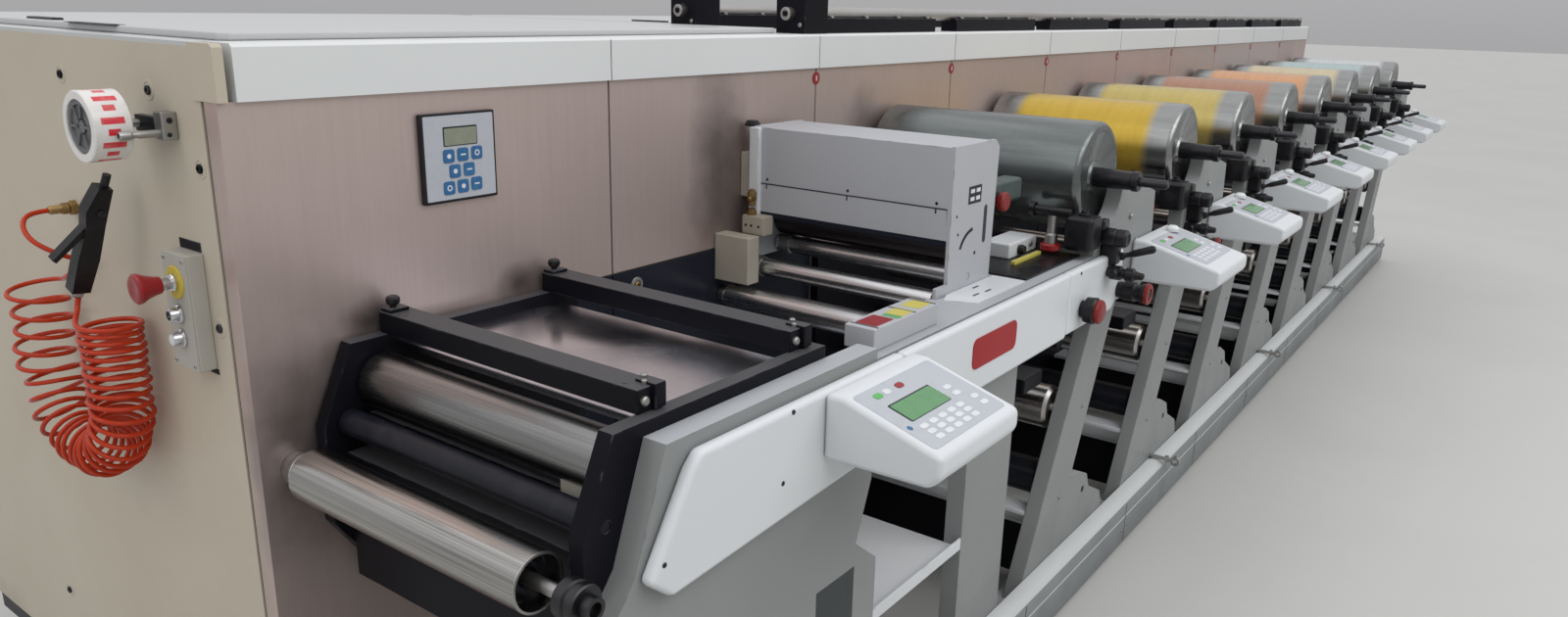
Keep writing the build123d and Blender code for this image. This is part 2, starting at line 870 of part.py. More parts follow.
def tube(points, radii, radius):
    path = FilletPolyline(*points, radius=radii)
    start = Plane(origin=path @ 0, z_dir=path % 0)
    body = sweep(start * Circle(radius), path=path)
    print("tube volume over section times length", round(body.volume / (pi * radius ** 2 * path.length), 4))
    return body


def make_hose():
    add("air_inlet", rod_x(inlet_y, inlet_z, inlet_radius, -inlet_reach, 0))
    route = [
        (-inlet_reach, inlet_y, inlet_z),
        (-72, inlet_y, inlet_z),
        (-91, 488, 1129),
        (-92, 456, 1109),
        (-70, 434, 1090),
        (-38, 436, 1073),
        (-18, 462, 1057),
        (-17, 500, 1040),
        (-22, 540, 1025),
        (-24, 560, 1009),
    ]
    radii = corner_radii(route)
    print("tail radii", [round(radius, 1) for radius in radii])
    add("hose_tails", tube(route, radii, hose_diameter / 2))
    bend = [
        (coil_x, coil_near_y, coil_top),
        (coil_x, coil_near_y, coil_low),
        (coil_x, coil_far_y, coil_low),
        (coil_x, coil_far_y, coil_top),
    ]
    add("hose_coil", tube(bend, [coil_corner, coil_corner], coil_diameter / 2))
    make_gun()


def make_gun():
    top = Vector(*gun_top)
    end = Vector(*gun_end)
    axis = top - end
    length = axis.length
    side = Vector(-1, 0, 0).cross(axis)
    plane = Plane(origin=end, x_dir=axis.cross(side), z_dir=side)
    head = [(across, length - gun_head) for across in gun_head_half]
    half = gun_thickness / 2
    body = extrude(plane * make_face(Polyline(*gun_handle, *head, *gun_back, close=True)), half, both=True)
    body += extrude(plane * make_face(Polyline(*gun_lever, close=True)), half - gun_lever_inset, both=True)
    along = Plane(origin=end, x_dir=side, z_dir=axis)
    body += along * Pos(0, 0, length - nozzle_length / 2) * Cylinder(nozzle_radius, nozzle_length)
    body += along * Pos(0, 0, fitting_length / 2) * Cylinder(fitting_radius, fitting_length)
    add("blow_gun", body)
    drop = Vector(end.X, end.Y, coil_top) - end
    stub = Plane(origin=end, z_dir=drop)
    add("hose_tails", stub * Pos(0, 0, drop.length / 2) * Cylinder(hose_diameter / 2, drop.length))


def export_all():
    os.makedirs("parts", exist_ok=True)
    cord_nodes = ("hose_tails", "hose_coil", "blow_gun")
    body = [solid for name, solids in nodes.items() if name not in cord_nodes for solid in solids]
    box = Compound(body).bounding_box()
    shift = Pos(-(box.min.X + box.max.X) / 2, -(box.min.Y + box.max.Y) / 2, -box.min.Z)
    for name, solids in nodes.items():
        export_step(shift * Compound(solids), "parts/%s.step" % name)
    print("shift", shift.position, "size", box.size)


make_cabinet()
make_lids()
make_doors()
make_rails()
make_units()
make_base()
make_infeed()
make_treater()
make_fittings()
make_hose()
export_all()
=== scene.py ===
# %% [markdown]
# # A narrow label press in Blender
#
# The press is a seven metre cabinet with eight print drums on its front, an infeed table and a
# corona treater at the near end, and a hose and a blow gun on its end wall. Its rigid parts come
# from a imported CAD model, the frame. This script gives them paint, steel and rubber, and builds
# the pieces whose shape is finer than the frame's.
#
# %% Load the frame
import math

import bpy
from mathutils import Matrix, Vector
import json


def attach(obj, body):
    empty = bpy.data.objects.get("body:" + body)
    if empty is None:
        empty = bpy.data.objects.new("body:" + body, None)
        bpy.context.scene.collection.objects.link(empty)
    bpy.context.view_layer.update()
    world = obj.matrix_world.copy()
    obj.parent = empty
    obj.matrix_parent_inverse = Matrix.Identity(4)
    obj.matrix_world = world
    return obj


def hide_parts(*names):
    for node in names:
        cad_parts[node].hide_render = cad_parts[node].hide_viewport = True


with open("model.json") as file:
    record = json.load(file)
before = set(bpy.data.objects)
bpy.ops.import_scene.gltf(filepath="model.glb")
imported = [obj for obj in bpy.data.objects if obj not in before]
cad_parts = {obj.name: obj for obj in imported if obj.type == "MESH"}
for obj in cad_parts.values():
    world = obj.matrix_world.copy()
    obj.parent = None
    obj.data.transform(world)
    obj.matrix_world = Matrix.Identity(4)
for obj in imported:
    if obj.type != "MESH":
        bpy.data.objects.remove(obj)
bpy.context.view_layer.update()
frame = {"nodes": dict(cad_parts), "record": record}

# %% [markdown]
# ## Millimetres and places
#
# The drawing of the press is in millimetres: X runs along the machine from its near end, Y from
# the steel panels backwards, so that the operator's side is negative, and Z is up. One function
# turns a place in the drawing into a place in the scene, and every piece is placed through it.
#
# %% Places
MM = 0.001
DRAWING_ORIGIN = (-3455.5, -243.5, 0.0)


def at(x, y, z):
    """A place in the drawing's millimetres, in the scene's metres."""
    return Vector([(value + start) * MM for value, start in zip((x, y, z), DRAWING_ORIGIN)])


def new_object(name, data):
    piece = bpy.data.objects.new(name, data)
    bpy.context.scene.collection.objects.link(piece)
    return piece


def select_only(*pieces):
    for piece in bpy.context.selected_objects:
        piece.select_set(False)
    for piece in pieces:
        piece.select_set(True)
    if pieces:
        bpy.context.view_layer.objects.active = pieces[0]


def settle(name):
    """Names the piece just added, and puts its place and size into its mesh."""
    piece = bpy.context.active_object
    bpy.ops.object.transform_apply(location=True, rotation=True, scale=True)
    piece.name = name
    piece.data.name = name
    return piece


# %% [markdown]
# ## The camera
#
# The photograph was taken at eye height, near the corner of the cabinet, looking down the row of
# drums. Lines that are level on the machine meet at the vanishing points, and those gave the
# turn, the tilt and the focal length below.
#
# %% Camera
CAMERA_PLACE = (-724, -1475, 1500)
YAW = math.radians(54.104)
PITCH = math.radians(-16.005)
ROLL = math.radians(1.389)
FOCAL_LENGTH = 24.508


def make_camera():
    ahead = math.cos(PITCH)
    forward = Vector((math.sin(YAW) * ahead, math.cos(YAW) * ahead, math.sin(PITCH)))
    level = Vector((math.cos(YAW), -math.sin(YAW), 0))
    upright = level.cross(forward)
    right = math.cos(ROLL) * level + math.sin(ROLL) * upright
    up = math.cos(ROLL) * upright - math.sin(ROLL) * level
    data = bpy.data.cameras.new("photo_camera")
    data.lens = FOCAL_LENGTH
    data.sensor_width = 36.0
    data.clip_end = 200.0
    camera = new_object("photo_camera", data)
    turn = Matrix((right, up, -forward)).transposed().to_4x4()
    camera.matrix_world = Matrix.Translation(at(*CAMERA_PLACE)) @ turn
    bpy.context.scene.camera = camera


make_camera()
print("focal length", FOCAL_LENGTH)

# %% [markdown]
# ## The air hose
#
# A recoil hose is a polyurethane tube that was set into a coil when it was warm. Here it hangs in
# a U: the limb by the inlet is stretched by its own weight, so its turns are far apart, and the
# limb under the blow gun is nearly closed. The tube is one NURBS curve. Its first points are the
# loose tail from the inlet, and then each turn adds twelve points around a line that runs down
# one limb, round the bottom and up the other. It ends inside the handle of the blow gun.
#
# %% Hose route
HOSE_DIAMETER = 8.0
COIL_X = -56.0
NEAR_LIMB_Y = 304.0
FAR_LIMB_Y = 575.0
COIL_TOP = 1012.0
COIL_LOW = 755.0
COIL_CORNER = 120.0
RING_RADIUS = 44.0
COIL_SHARE = 0.978
TURNS = 30
POINTS_A_TURN = 12
END_POINTS = 7
EVEN_SHARE, EASED_SHARE, EASE = 0.45, 0.55, 1.9
GUN_END = (-80.0, 343.0, 1037.0)
GUN_CORE = (-64.7, 315.9, 1110.7)
RISE_TO_GUN = [(-98, 318, 1000), (-91, 331, 1007), (-83.5, 340, 1018), (-80, 343.5, 1032)]
TAIL = [
    (-42, 512, 1144),
    (-72, 512, 1144),
    (-91, 488, 1129),
    (-92, 456, 1109),
    (-70, 434, 1090),
    (-38, 436, 1073),
    (-18, 462, 1057),
    (-17, 500, 1040),
    (-22, 540, 1025),
]


def coil_line(share):
    """Centre of the coil and its outward direction, at a share of the U's length."""
    limb = COIL_TOP - COIL_LOW - COIL_CORNER
    corner = COIL_CORNER * math.pi / 2
    bottom = FAR_LIMB_Y - NEAR_LIMB_Y - 2 * COIL_CORNER
    way = share * (2 * limb + 2 * corner + bottom)
    centre_z = COIL_LOW + COIL_CORNER
    if way < limb:
        return FAR_LIMB_Y, COIL_TOP - way, 1.0, 0.0
    way -= limb
    if way < corner:
        turn = way / COIL_CORNER
        out_y, out_z = math.cos(turn), -math.sin(turn)
        centre_y = FAR_LIMB_Y - COIL_CORNER
        return centre_y + COIL_CORNER * out_y, centre_z + COIL_CORNER * out_z, out_y, out_z
    way -= corner
    if way < bottom:
        return FAR_LIMB_Y - COIL_CORNER - way, COIL_LOW, 0.0, -1.0
    way -= bottom
    if way < corner:
        turn = way / COIL_CORNER
        out_y, out_z = -math.sin(turn), -math.cos(turn)
        centre_y = NEAR_LIMB_Y + COIL_CORNER
        return centre_y + COIL_CORNER * out_y, centre_z + COIL_CORNER * out_z, out_y, out_z
    return NEAR_LIMB_Y, centre_z + way - corner, -1.0, 0.0


def coil_points():
    """The turns close up along the U, and each differs a little from the last."""
    count = TURNS * POINTS_A_TURN + END_POINTS
    points = []
    for number in range(count):
        done = number / count
        share = COIL_SHARE * (EVEN_SHARE * done + EASED_SHARE * (1 - (1 - done) ** EASE))
        y, z, out_y, out_z = coil_line(share)
        angle = 2 * math.pi * number / POINTS_A_TURN
        loose = (1 - done) ** 2
        radius = RING_RADIUS + (1.2 + 1.5 * loose) * math.sin(number * 0.37)
        sway = 3.0 * loose * math.sin(number * 0.11)
        across = radius * math.sin(angle)
        x = COIL_X + sway + radius * math.cos(angle)
        points.append((x, y + across * out_y, z + across * out_z))
    return points


def make_hose():
    points = TAIL + coil_points() + RISE_TO_GUN + [GUN_CORE]
    curve = bpy.data.curves.new("air_hose", "CURVE")
    curve.dimensions = "3D"
    curve.bevel_depth = HOSE_DIAMETER / 2 * MM
    curve.bevel_resolution = 3
    curve.resolution_u = 4
    curve.use_fill_caps = True
    spline = curve.splines.new("NURBS")
    spline.points.add(len(points) - 1)
    for point, place in zip(spline.points, points):
        point.co = (*at(*place), 1.0)
    spline.order_u = 3
    spline.use_endpoint_u = True
    hose = new_object("air_hose", curve)
    print("hose length", round(spline.calc_length(), 3))
    return hose


air_hose = make_hose()

# %% [markdown]
# ## Modelling helpers
#
# Most pieces of a machine are made in one of three ways. A box has its edges rounded, a flat part
# is cut out of plate along a drawn outline, and a round part is turned on a lathe. In Blender
# these are a cube with the Bevel modifier, a filled circle whose corners move to the outline and
# are then extruded, and a profile spun round an axis.
#
# %% Boxes and rods
UPRIGHT = {"x": (0, math.pi / 2, 0), "y": (math.pi / 2, 0, 0), "z": (0, 0, 0)}
SHARP = 30.0


def box(name, low, high):
    select_only()
    start, end = at(*low), at(*high)
    bpy.ops.mesh.primitive_cube_add(size=1, location=(start + end) / 2)
    bpy.context.active_object.scale = end - start
    return settle(name)


def rod(name, axis, middle, radius, length, sides=32):
    select_only()
    place, turn = at(*middle), UPRIGHT[axis]
    bpy.ops.mesh.primitive_cylinder_add(
        vertices=sides, radius=radius * MM, depth=length * MM, location=place, rotation=turn
    )
    return settle(name)


def round_edges(piece, width, segments=2):
    """Rounds the sharp edges, and keeps the flat faces flat in the shading."""
    select_only(piece)
    bpy.ops.object.modifier_add(type="BEVEL")
    bevel = piece.modifiers[-1]
    bevel.width = width * MM
    bevel.segments = segments
    bevel.limit_method = "ANGLE"
    bevel.angle_limit = math.radians(SHARP)
    bpy.ops.object.modifier_apply(modifier=bevel.name)
    return smooth(piece)


def smooth(piece, angle=40.0):
    select_only(piece)
    bpy.ops.object.shade_smooth_by_angle(angle=math.radians(angle))
    bpy.ops.object.modifier_add(type="WEIGHTED_NORMAL")
    weighted = piece.modifiers[-1]
    weighted.keep_sharp = True
    bpy.ops.object.modifier_apply(modifier=weighted.name)
    return piece


# %% [markdown]
# A turned part starts as a loop of points along its profile. The loop is opened, spun once round
# the axis, and closed where the ends meet. A plate starts as a filled loop and is extruded. The
# normals are recalculated after each, because a spin can turn a shape inside out.
#
# %% Turned parts and plates
AXIS = {"x": Vector((1, 0, 0)), "y": Vector((0, 1, 0)), "z": Vector((0, 0, 1))}
ACROSS = {"x": Vector((0, 0, 1)), "y": Vector((0, 0, 1)), "z": Vector((1, 0, 0))}
MERGE_DISTANCE = 0.00002


def turned(name, axis, start, profile, steps=48):
    """A lathe part: profile lists (distance along the axis, radius) from the start point."""
    select_only()
    bpy.ops.mesh.primitive_circle_add(vertices=len(profile), fill_type="NOTHING")
    piece = bpy.context.active_object
    origin = at(*start)
    for corner, (along, radius) in zip(piece.data.vertices, profile):
        corner.co = origin + AXIS[axis] * along * MM + ACROSS[axis] * radius * MM
    bpy.ops.object.mode_set(mode="EDIT")
    bpy.ops.mesh.select_mode(type="EDGE")
    bpy.ops.object.mode_set(mode="OBJECT")
    ends = {0, len(profile) - 1}
    for edge in piece.data.edges:
        edge.select = set(edge.vertices) == ends
    bpy.ops.object.mode_set(mode="EDIT")
    bpy.ops.mesh.delete(type="EDGE")
    bpy.ops.mesh.select_all(action="SELECT")
    bpy.ops.mesh.spin(steps=steps, angle=2 * math.pi, center=origin, axis=AXIS[axis])
    bpy.ops.mesh.select_all(action="SELECT")
    bpy.ops.mesh.remove_doubles(threshold=MERGE_DISTANCE)
    bpy.ops.mesh.normals_make_consistent(inside=False)
    bpy.ops.mesh.select_mode(type="VERT")
    bpy.ops.object.mode_set(mode="OBJECT")
    return smooth(settle(name), 35.0)


def lay(plane, first, second, depth):
    """A point of a flat outline in the drawing: plane names its two directions."""
    return (first, depth, second) if plane == "xz" else (first, second, depth)


def plate(name, plane, outline, start, end):
    select_only()
    bpy.ops.mesh.primitive_circle_add(vertices=len(outline), fill_type="NGON")
    piece = bpy.context.active_object
    for corner, (first, second) in zip(piece.data.vertices, outline):
        corner.co = at(*lay(plane, first, second, start))
    thickness = at(*lay(plane, 0, 0, end)) - at(*lay(plane, 0, 0, start))
    bpy.ops.object.mode_set(mode="EDIT")
    bpy.ops.mesh.select_all(action="SELECT")
    bpy.ops.mesh.extrude_region_move(TRANSFORM_OT_translate={"value": thickness})
    bpy.ops.mesh.select_all(action="SELECT")
    bpy.ops.mesh.normals_make_consistent(inside=False)
    bpy.ops.object.mode_set(mode="OBJECT")
    return settle(name)


# %% [markdown]
# Many pieces repeat along the machine. Each is modelled once and copied, and every copy gets its
# own mesh, so that its place is in its points. Copies that never move are joined into one piece.
#
# %% Copies, joins and finishes
def copy_to(piece, name, dx=0.0, dy=0.0, dz=0.0):
    twin = new_object(name, piece.data.copy())
    twin.data.transform(Matrix.Translation(Vector((dx, dy, dz)) * MM))
    return twin


def discard(*pieces):
    """Removes the patterns that copies were made from."""
    for piece in pieces:
        bpy.data.objects.remove(piece)


def join(name, pieces):
    select_only(*pieces)
    bpy.ops.object.join()
    pieces[0].name = name
    pieces[0].data.name = name
    return pieces[0]


def paint(piece, material):
    piece.data.materials.clear()
    piece.data.materials.append(material)
    return piece


def fit(piece, slot=None, body="press", stands_for=()):
    """Fixes a finished piece to its body and hides the frame nodes that it stands for."""
    if stands_for:
        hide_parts(*stands_for)
    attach(piece, body)
    return piece


def refined(node, width, segments=2, name=None):
    """A copy of a frame node with its edges rounded, as a press brake or a mould leaves them."""
    piece = new_object(name or node + "_rounded", frame["nodes"][node].data.copy())
    select_only(piece)
    bpy.ops.object.mode_set(mode="EDIT")
    bpy.ops.mesh.select_all(action="SELECT")
    bpy.ops.mesh.remove_doubles(threshold=MERGE_DISTANCE)
    bpy.ops.mesh.dissolve_limited(angle_limit=math.radians(1.0))
    bpy.ops.object.mode_set(mode="OBJECT")
    return round_edges(piece, width, segments)


def rotated(piece, axis, degrees, middle):
    """Turns a piece about a place in the drawing, in its mesh."""
    origin = at(*middle)
    turn = Matrix.Rotation(math.radians(degrees), 4, AXIS[axis])
    piece.data.transform(Matrix.Translation(origin) @ turn @ Matrix.Translation(-origin))
    return piece


# %% [markdown]
# ## Shared effects for the finishes
#
# Paint, steel and rubber on a machine in use share a few effects: cloudy patches of grease and
# hand marks, fine lines left by brushing or turning, dirt that gathers near the floor, and paint
# that is rubbed thin on edges. Each effect is one shader node group, made once and placed in
# every material that shows it with its own numbers. Most of the work in a group is adding nodes
# and feeding their sockets, so that has a helper, and the nodes used most have one each.
#
# %% Node helpers
FLOAT = "NodeSocketFloat"
VECTOR = "NodeSocketVector"


def feed(tree, socket, value):
    """Links a socket to the one that feeds it, or gives it a plain value."""
    if isinstance(value, bpy.types.NodeSocket):
        tree.links.new(value, socket)
    else:
        socket.default_value = value


def add_node(tree, kind, inputs=None, **settings):
    node = tree.nodes.new("ShaderNode" + kind)
    for label, value in settings.items():
        setattr(node, label, value)
    for label, value in (inputs or {}).items():
        feed(tree, node.inputs[label], value)
    return node


def spread(tree, value, low, high, start=0.0, end=1.0):
    """Stretches the range from low to high over start to end. Each is a number or a socket."""
    inputs = {"Value": value, "From Min": low, "From Max": high, "To Min": start, "To Max": end}
    return add_node(tree, "MapRange", inputs).outputs["Result"]


def calculate(tree, operation, first, second=0.0):
    return add_node(tree, "Math", {0: first, 1: second}, operation=operation).outputs[0]


def vectors(tree, operation, first, second=(0, 0, 0)):
    return add_node(tree, "VectorMath", {0: first, 1: second}, operation=operation).outputs


def noise(tree, place, scale, detail, roughness=0.5, distortion=0.0):
    inputs = {"Vector": place, "Scale": scale, "Detail": detail}
    inputs |= {"Roughness": roughness, "Distortion": distortion}
    return add_node(tree, "TexNoise", inputs).outputs["Fac"]


def own_place(tree):
    return add_node(tree, "TexCoord").outputs["Object"]


def parts_of(tree, vector):
    return add_node(tree, "SeparateXYZ", {"Vector": vector}).outputs


def new_group(name, inputs, outputs=("Mask",)):
    tree = bpy.data.node_groups.new(name, "ShaderNodeTree")
    for label, kind, value in inputs:
        tree.interface.new_socket(label, in_out="INPUT", socket_type=kind).default_value = value
    for label in outputs:
        tree.interface.new_socket(label, in_out="OUTPUT", socket_type=FLOAT)
    return tree, tree.nodes.new("NodeGroupInput").outputs, tree.nodes.new("NodeGroupOutput").inputs


# %% [markdown]
# Patches are soft noise whose contrast is stretched. Lines are the same noise squeezed along
# two directions, so that it draws out along the third.
#
# %% Patches and lines
LIMITS = [("Low", FLOAT, 0.3), ("High", FLOAT, 0.7)]


def make_patches():
    tree, given, result = new_group("patches", [("Scale", FLOAT, 3.0), *LIMITS])
    cloud = noise(tree, own_place(tree), given["Scale"], 5.0, 0.6, 0.4)
    feed(tree, result["Mask"], spread(tree, cloud, given["Low"], given["High"]))
    return tree


def make_lines():
    tree, given, result = new_group("lines", [("Stretch", VECTOR, (60, 60, 1)), *LIMITS])
    squeezed = add_node(tree, "Mapping", {"Vector": own_place(tree), "Scale": given["Stretch"]})
    grain = noise(tree, squeezed.outputs["Vector"], 1.0, 4.0, 0.65)
    feed(tree, result["Mask"], spread(tree, grain, given["Low"], given["High"]))
    return tree


patches_group = make_patches()
lines_group = make_lines()

# %% [markdown]
# Dirt near the floor is a ramp on the height, broken up by noise, because splashes don't end at
# a straight line. Worn edges are found by comparing the surface with a rounded version of
# itself: near an edge the two directions differ, and there the paint is chipped here and there.
#
# %% Floor dirt and worn edges
def make_floor_dirt():
    tree, given, result = new_group("floor_dirt", [("Reach", FLOAT, 0.5)])
    place = own_place(tree)
    ramp = calculate(tree, "DIVIDE", parts_of(tree, place)["Z"], given["Reach"])
    broken = calculate(tree, "ADD", ramp, noise(tree, place, 9.0, 6.0))
    feed(tree, result["Mask"], spread(tree, broken, 1.4, 0.5))
    return tree


def make_worn_edges():
    tree, given, result = new_group("worn_edges", [("Width", FLOAT, 0.004)])
    flat = add_node(tree, "NewGeometry").outputs["Normal"]
    rounded = add_node(tree, "Bevel", {"Radius": given["Width"]}, samples=4).outputs["Normal"]
    edge = spread(tree, vectors(tree, "DOT_PRODUCT", flat, rounded)["Value"], 0.985, 0.93)
    chips = spread(tree, noise(tree, own_place(tree), 26.0, 5.0), 0.52, 0.60)
    feed(tree, result["Mask"], calculate(tree, "MULTIPLY", edge, chips))
    return tree


floor_dirt_group = make_floor_dirt()
worn_edges_group = make_worn_edges()

# %% [markdown]
# Dust lies on faces that look up, and the same faces catch the light from above, so this mask
# paints both dust and top light: it is the upward part of the normal. A dark spot is a soft ball
# round one place, with a ragged border, and paints grease and shade on the cabinet's steel.
#
# %% Dust, top light and dark spots
def make_dust_and_top_light():
    tree, given, result = new_group("dust", [("Low", FLOAT, 0.5)])
    upward = parts_of(tree, add_node(tree, "NewGeometry").outputs["Normal"])["Z"]
    feed(tree, result["Mask"], spread(tree, upward, given["Low"], 0.95))
    return tree


def make_grease_shade_spot():
    inputs = [("Centre", VECTOR, (0, 0, 0)), ("Size", VECTOR, (0.1, 0.1, 0.1))]
    tree, given, result = new_group("smudge", inputs)
    place = own_place(tree)
    offset = vectors(tree, "SUBTRACT", place, given["Centre"])["Vector"]
    share = vectors(tree, "DIVIDE", offset, given["Size"])["Vector"]
    border = calculate(tree, "MULTIPLY", noise(tree, place, 14.0, 5.0), 0.7)
    ragged = calculate(tree, "ADD", vectors(tree, "LENGTH", share)["Value"], border)
    feed(tree, result["Mask"], spread(tree, ragged, 1.35, 0.55))
    return tree


dust_and_top_light_group = make_dust_and_top_light()
grease_shade_spot_group = make_grease_shade_spot()

# %% [markdown]
# A chromed roller or drum shows two kinds of marks. Fine rings run round it, from grinding, and
# smears run along it, which are oil and ink and also painted reflection bands, the dark and light
# streaks that chrome mirrors from its surroundings. Both need the roller's own axis, so the group
# moves the place to that axis first and reads the angle with an arctangent.
#
# %% Marks and painted reflections on rollers
def make_roller_marks_and_reflections():
    inputs = [("Axis", VECTOR, (0, 0, 0)), ("Rings", FLOAT, 400.0), ("Smears", FLOAT, 6.0)]
    tree, given, result = new_group("roller_marks_and_reflections", inputs, ("Rings", "Smears"))
    place = parts_of(tree, vectors(tree, "SUBTRACT", own_place(tree), given["Axis"])["Vector"])
    angle = calculate(tree, "ARCTAN2", place["Z"], place["X"])
    for label, around, along in (("Rings", 0.6, given["Rings"]), ("Smears", given["Smears"], 1.6)):
        turn = calculate(tree, "MULTIPLY", angle, around)
        reach = calculate(tree, "MULTIPLY", place["Y"], along)
        point = add_node(tree, "CombineXYZ", {"X": turn, "Y": reach}).outputs["Vector"]
        feed(tree, result[label], spread(tree, noise(tree, point, 1.0, 5.0, 0.6), 0.32, 0.68))
    return tree


roller_marks_and_reflections_group = make_roller_marks_and_reflections()

# %% [markdown]
# ## Finishes
#
# A small wrapper keeps the material code short: it holds the node tree and its shader, places a
# group, and mixes a colour over what is already there.
#
# %% Material helpers
class Finish:
    """A material being made: its tree, its shader's sockets, and the colour made so far."""

    def __init__(self, name, colour, roughness, metallic=0.0, coat=0.0, gloss=0.5):
        self.material = bpy.data.materials.new(name)
        self.material.use_nodes = True
        self.material.diffuse_color = self.colour = (*colour, 1)
        self.roughness = roughness
        self.tree = self.material.node_tree
        self.shader = self.tree.nodes["Principled BSDF"].inputs
        plain = {"Base Color": self.colour, "Roughness": roughness, "Metallic": metallic}
        plain |= {"Coat Weight": coat, "Specular IOR Level": gloss}
        for label, value in plain.items():
            self.shader[label].default_value = value

    def effect(self, group, output="Mask", **values):
        node = add_node(self.tree, "Group", node_tree=group)
        for label, value in values.items():
            node.inputs[label.capitalize()].default_value = value
        return node.outputs[output]

    def times(self, mask, amount):
        return calculate(self.tree, "MULTIPLY", mask, amount)

    def tint(self, mask, colour):
        """Mixes a colour over the base, by a mask."""
        inputs = {0: mask, 6: self.colour, 7: (*colour, 1)}
        self.colour = add_node(self.tree, "Mix", inputs, data_type="RGBA").outputs[2]
        feed(self.tree, self.shader["Base Color"], self.colour)
        return self

    def rough(self, mask, other):
        """Takes the roughness from its plain value to another, by a mask."""
        roughness = spread(self.tree, mask, 0, 1, self.roughness, other)
        feed(self.tree, self.shader["Roughness"], roughness)
        return self

    def metal(self, mask, inside, outside):
        feed(self.tree, self.shader["Metallic"], spread(self.tree, mask, 0, 1, outside, inside))
        return self

    def bump(self, height, depth):
        values = {"Height": height, "Strength": 1, "Distance": depth * MM}
        node = add_node(self.tree, "Bump", values)
        feed(self.tree, self.shader["Normal"], node.outputs["Normal"])
        return self


def darker(colour, share):
    return [value * share for value in colour]


# %% [markdown]
# Painted sheet metal: the colour, a slightly dirtier tone in patches, dirt towards the floor and
# rubbed edges, a lighter tone on faces that look up, which is dust and painted top light, and the
# fine orange peel of sprayed paint as a bump. Black paint gets a low gloss, because the lamps would
# otherwise turn it grey.
#
# %% Paints
BLACK_GLOSS = 0.09


def painted(
    name, colour, grime, roughness=0.38, patches=0.35, reach=0.0, bare=None, dust_and_top_light=None, gloss=0.5
):
    finish = Finish(name, colour, roughness, gloss=gloss)
    cloudy = finish.effect(patches_group, scale=2.6, low=0.38, high=0.85)
    finish.tint(finish.times(cloudy, patches), grime)
    spots = finish.effect(patches_group, scale=60.0, low=0.70, high=0.80)
    finish.tint(finish.times(spots, 0.3), darker(grime, 0.45))
    if reach:
        dirt = finish.effect(floor_dirt_group, reach=reach)
        finish.tint(finish.times(dirt, 0.6), darker(grime, 0.4))
    if bare:
        finish.tint(finish.effect(worn_edges_group, width=0.004), bare)
    # Faces that look up are tinted lighter: dust, and painted top light.
    if dust_and_top_light:
        finish.tint(finish.times(finish.effect(dust_and_top_light_group, low=0.6), 0.8), dust_and_top_light)
    finish.rough(cloudy, roughness + 0.16)
    return finish.bump(finish.effect(patches_group, scale=420.0, low=0.3, high=0.7), 0.02).material


cream_paint = painted("cream_paint", (0.50, 0.445, 0.355), (0.41, 0.355, 0.275), 0.42, 0.4, 0.2)
band_white = painted("band_white", (0.67, 0.685, 0.68), (0.58, 0.60, 0.605), 0.28, 0.3)
deck_white = painted("deck_white", (0.50, 0.51, 0.51), (0.42, 0.43, 0.43), 0.3, 0.4)
moulded_white = painted(
    "moulded_white", (0.62, 0.645, 0.665), (0.54, 0.54, 0.52), 0.34, 0.3, bare=(0.36, 0.33, 0.29)
)
# The grey frame and the rail are much lighter on faces that look up: dust, and painted top light.
frame_grey = painted(
    "frame_grey", (0.235, 0.245, 0.245), (0.19, 0.19, 0.18), 0.42, 0.4, 0.30,
    bare=(0.14, 0.13, 0.12), dust_and_top_light=(0.40, 0.42, 0.44)
)
rail_paint = painted(
    "rail_paint", (0.23, 0.25, 0.255), (0.17, 0.18, 0.18), 0.42, 0.4, 0.16,
    bare=(0.26, 0.25, 0.23), dust_and_top_light=(0.66, 0.68, 0.68)
)
treater_paint = painted(
    "treater_paint", (0.40, 0.41, 0.435), (0.34, 0.345, 0.355), 0.40, bare=(0.16, 0.13, 0.10)
)
fitting_paint = painted("fitting_paint", (0.42, 0.40, 0.34), (0.24, 0.17, 0.11), 0.45, 0.6)
# The black paints are lighter on faces that look up: dust, and a painted grazing reflection.
black_paint = painted(
    "black_paint", (0.006, 0.006, 0.009), (0.014, 0.014, 0.018), 0.36, 0.45,
    bare=(0.07, 0.07, 0.08), dust_and_top_light=(0.085, 0.085, 0.09), gloss=BLACK_GLOSS
)
blue_black_paint = painted(
    "blue_black_paint", (0.012, 0.014, 0.022), (0.026, 0.029, 0.038), 0.24, 0.5,
    dust_and_top_light=(0.05, 0.052, 0.06), gloss=BLACK_GLOSS
)
dark_base = painted("dark_base", (0.035, 0.035, 0.04), (0.06, 0.058, 0.055), 0.6, 0.5, 0.3)
red_enamel = painted(
    "red_enamel", (0.31, 0.004, 0.008), (0.22, 0.004, 0.007), 0.35, 0.3, gloss=0.25
)
stop_grey = painted("stop_grey", (0.40, 0.385, 0.345), (0.28, 0.26, 0.22), 0.45, 0.4)
print("paints", len(bpy.data.materials))

# %% [markdown]
# Brushed and ground metal: a fine grain along one direction that changes the colour and the
# roughness a little, and cloudy smears where it was wiped. The three numbers of a stretch say how
# fine the grain is along X, Y and Z, so a low one gives the direction of the brushing.
#
# %% Sheet and bar metal
TURNED_GRAIN = (200, 200, 200)
FINE_GRAIN = (300, 300, 300)


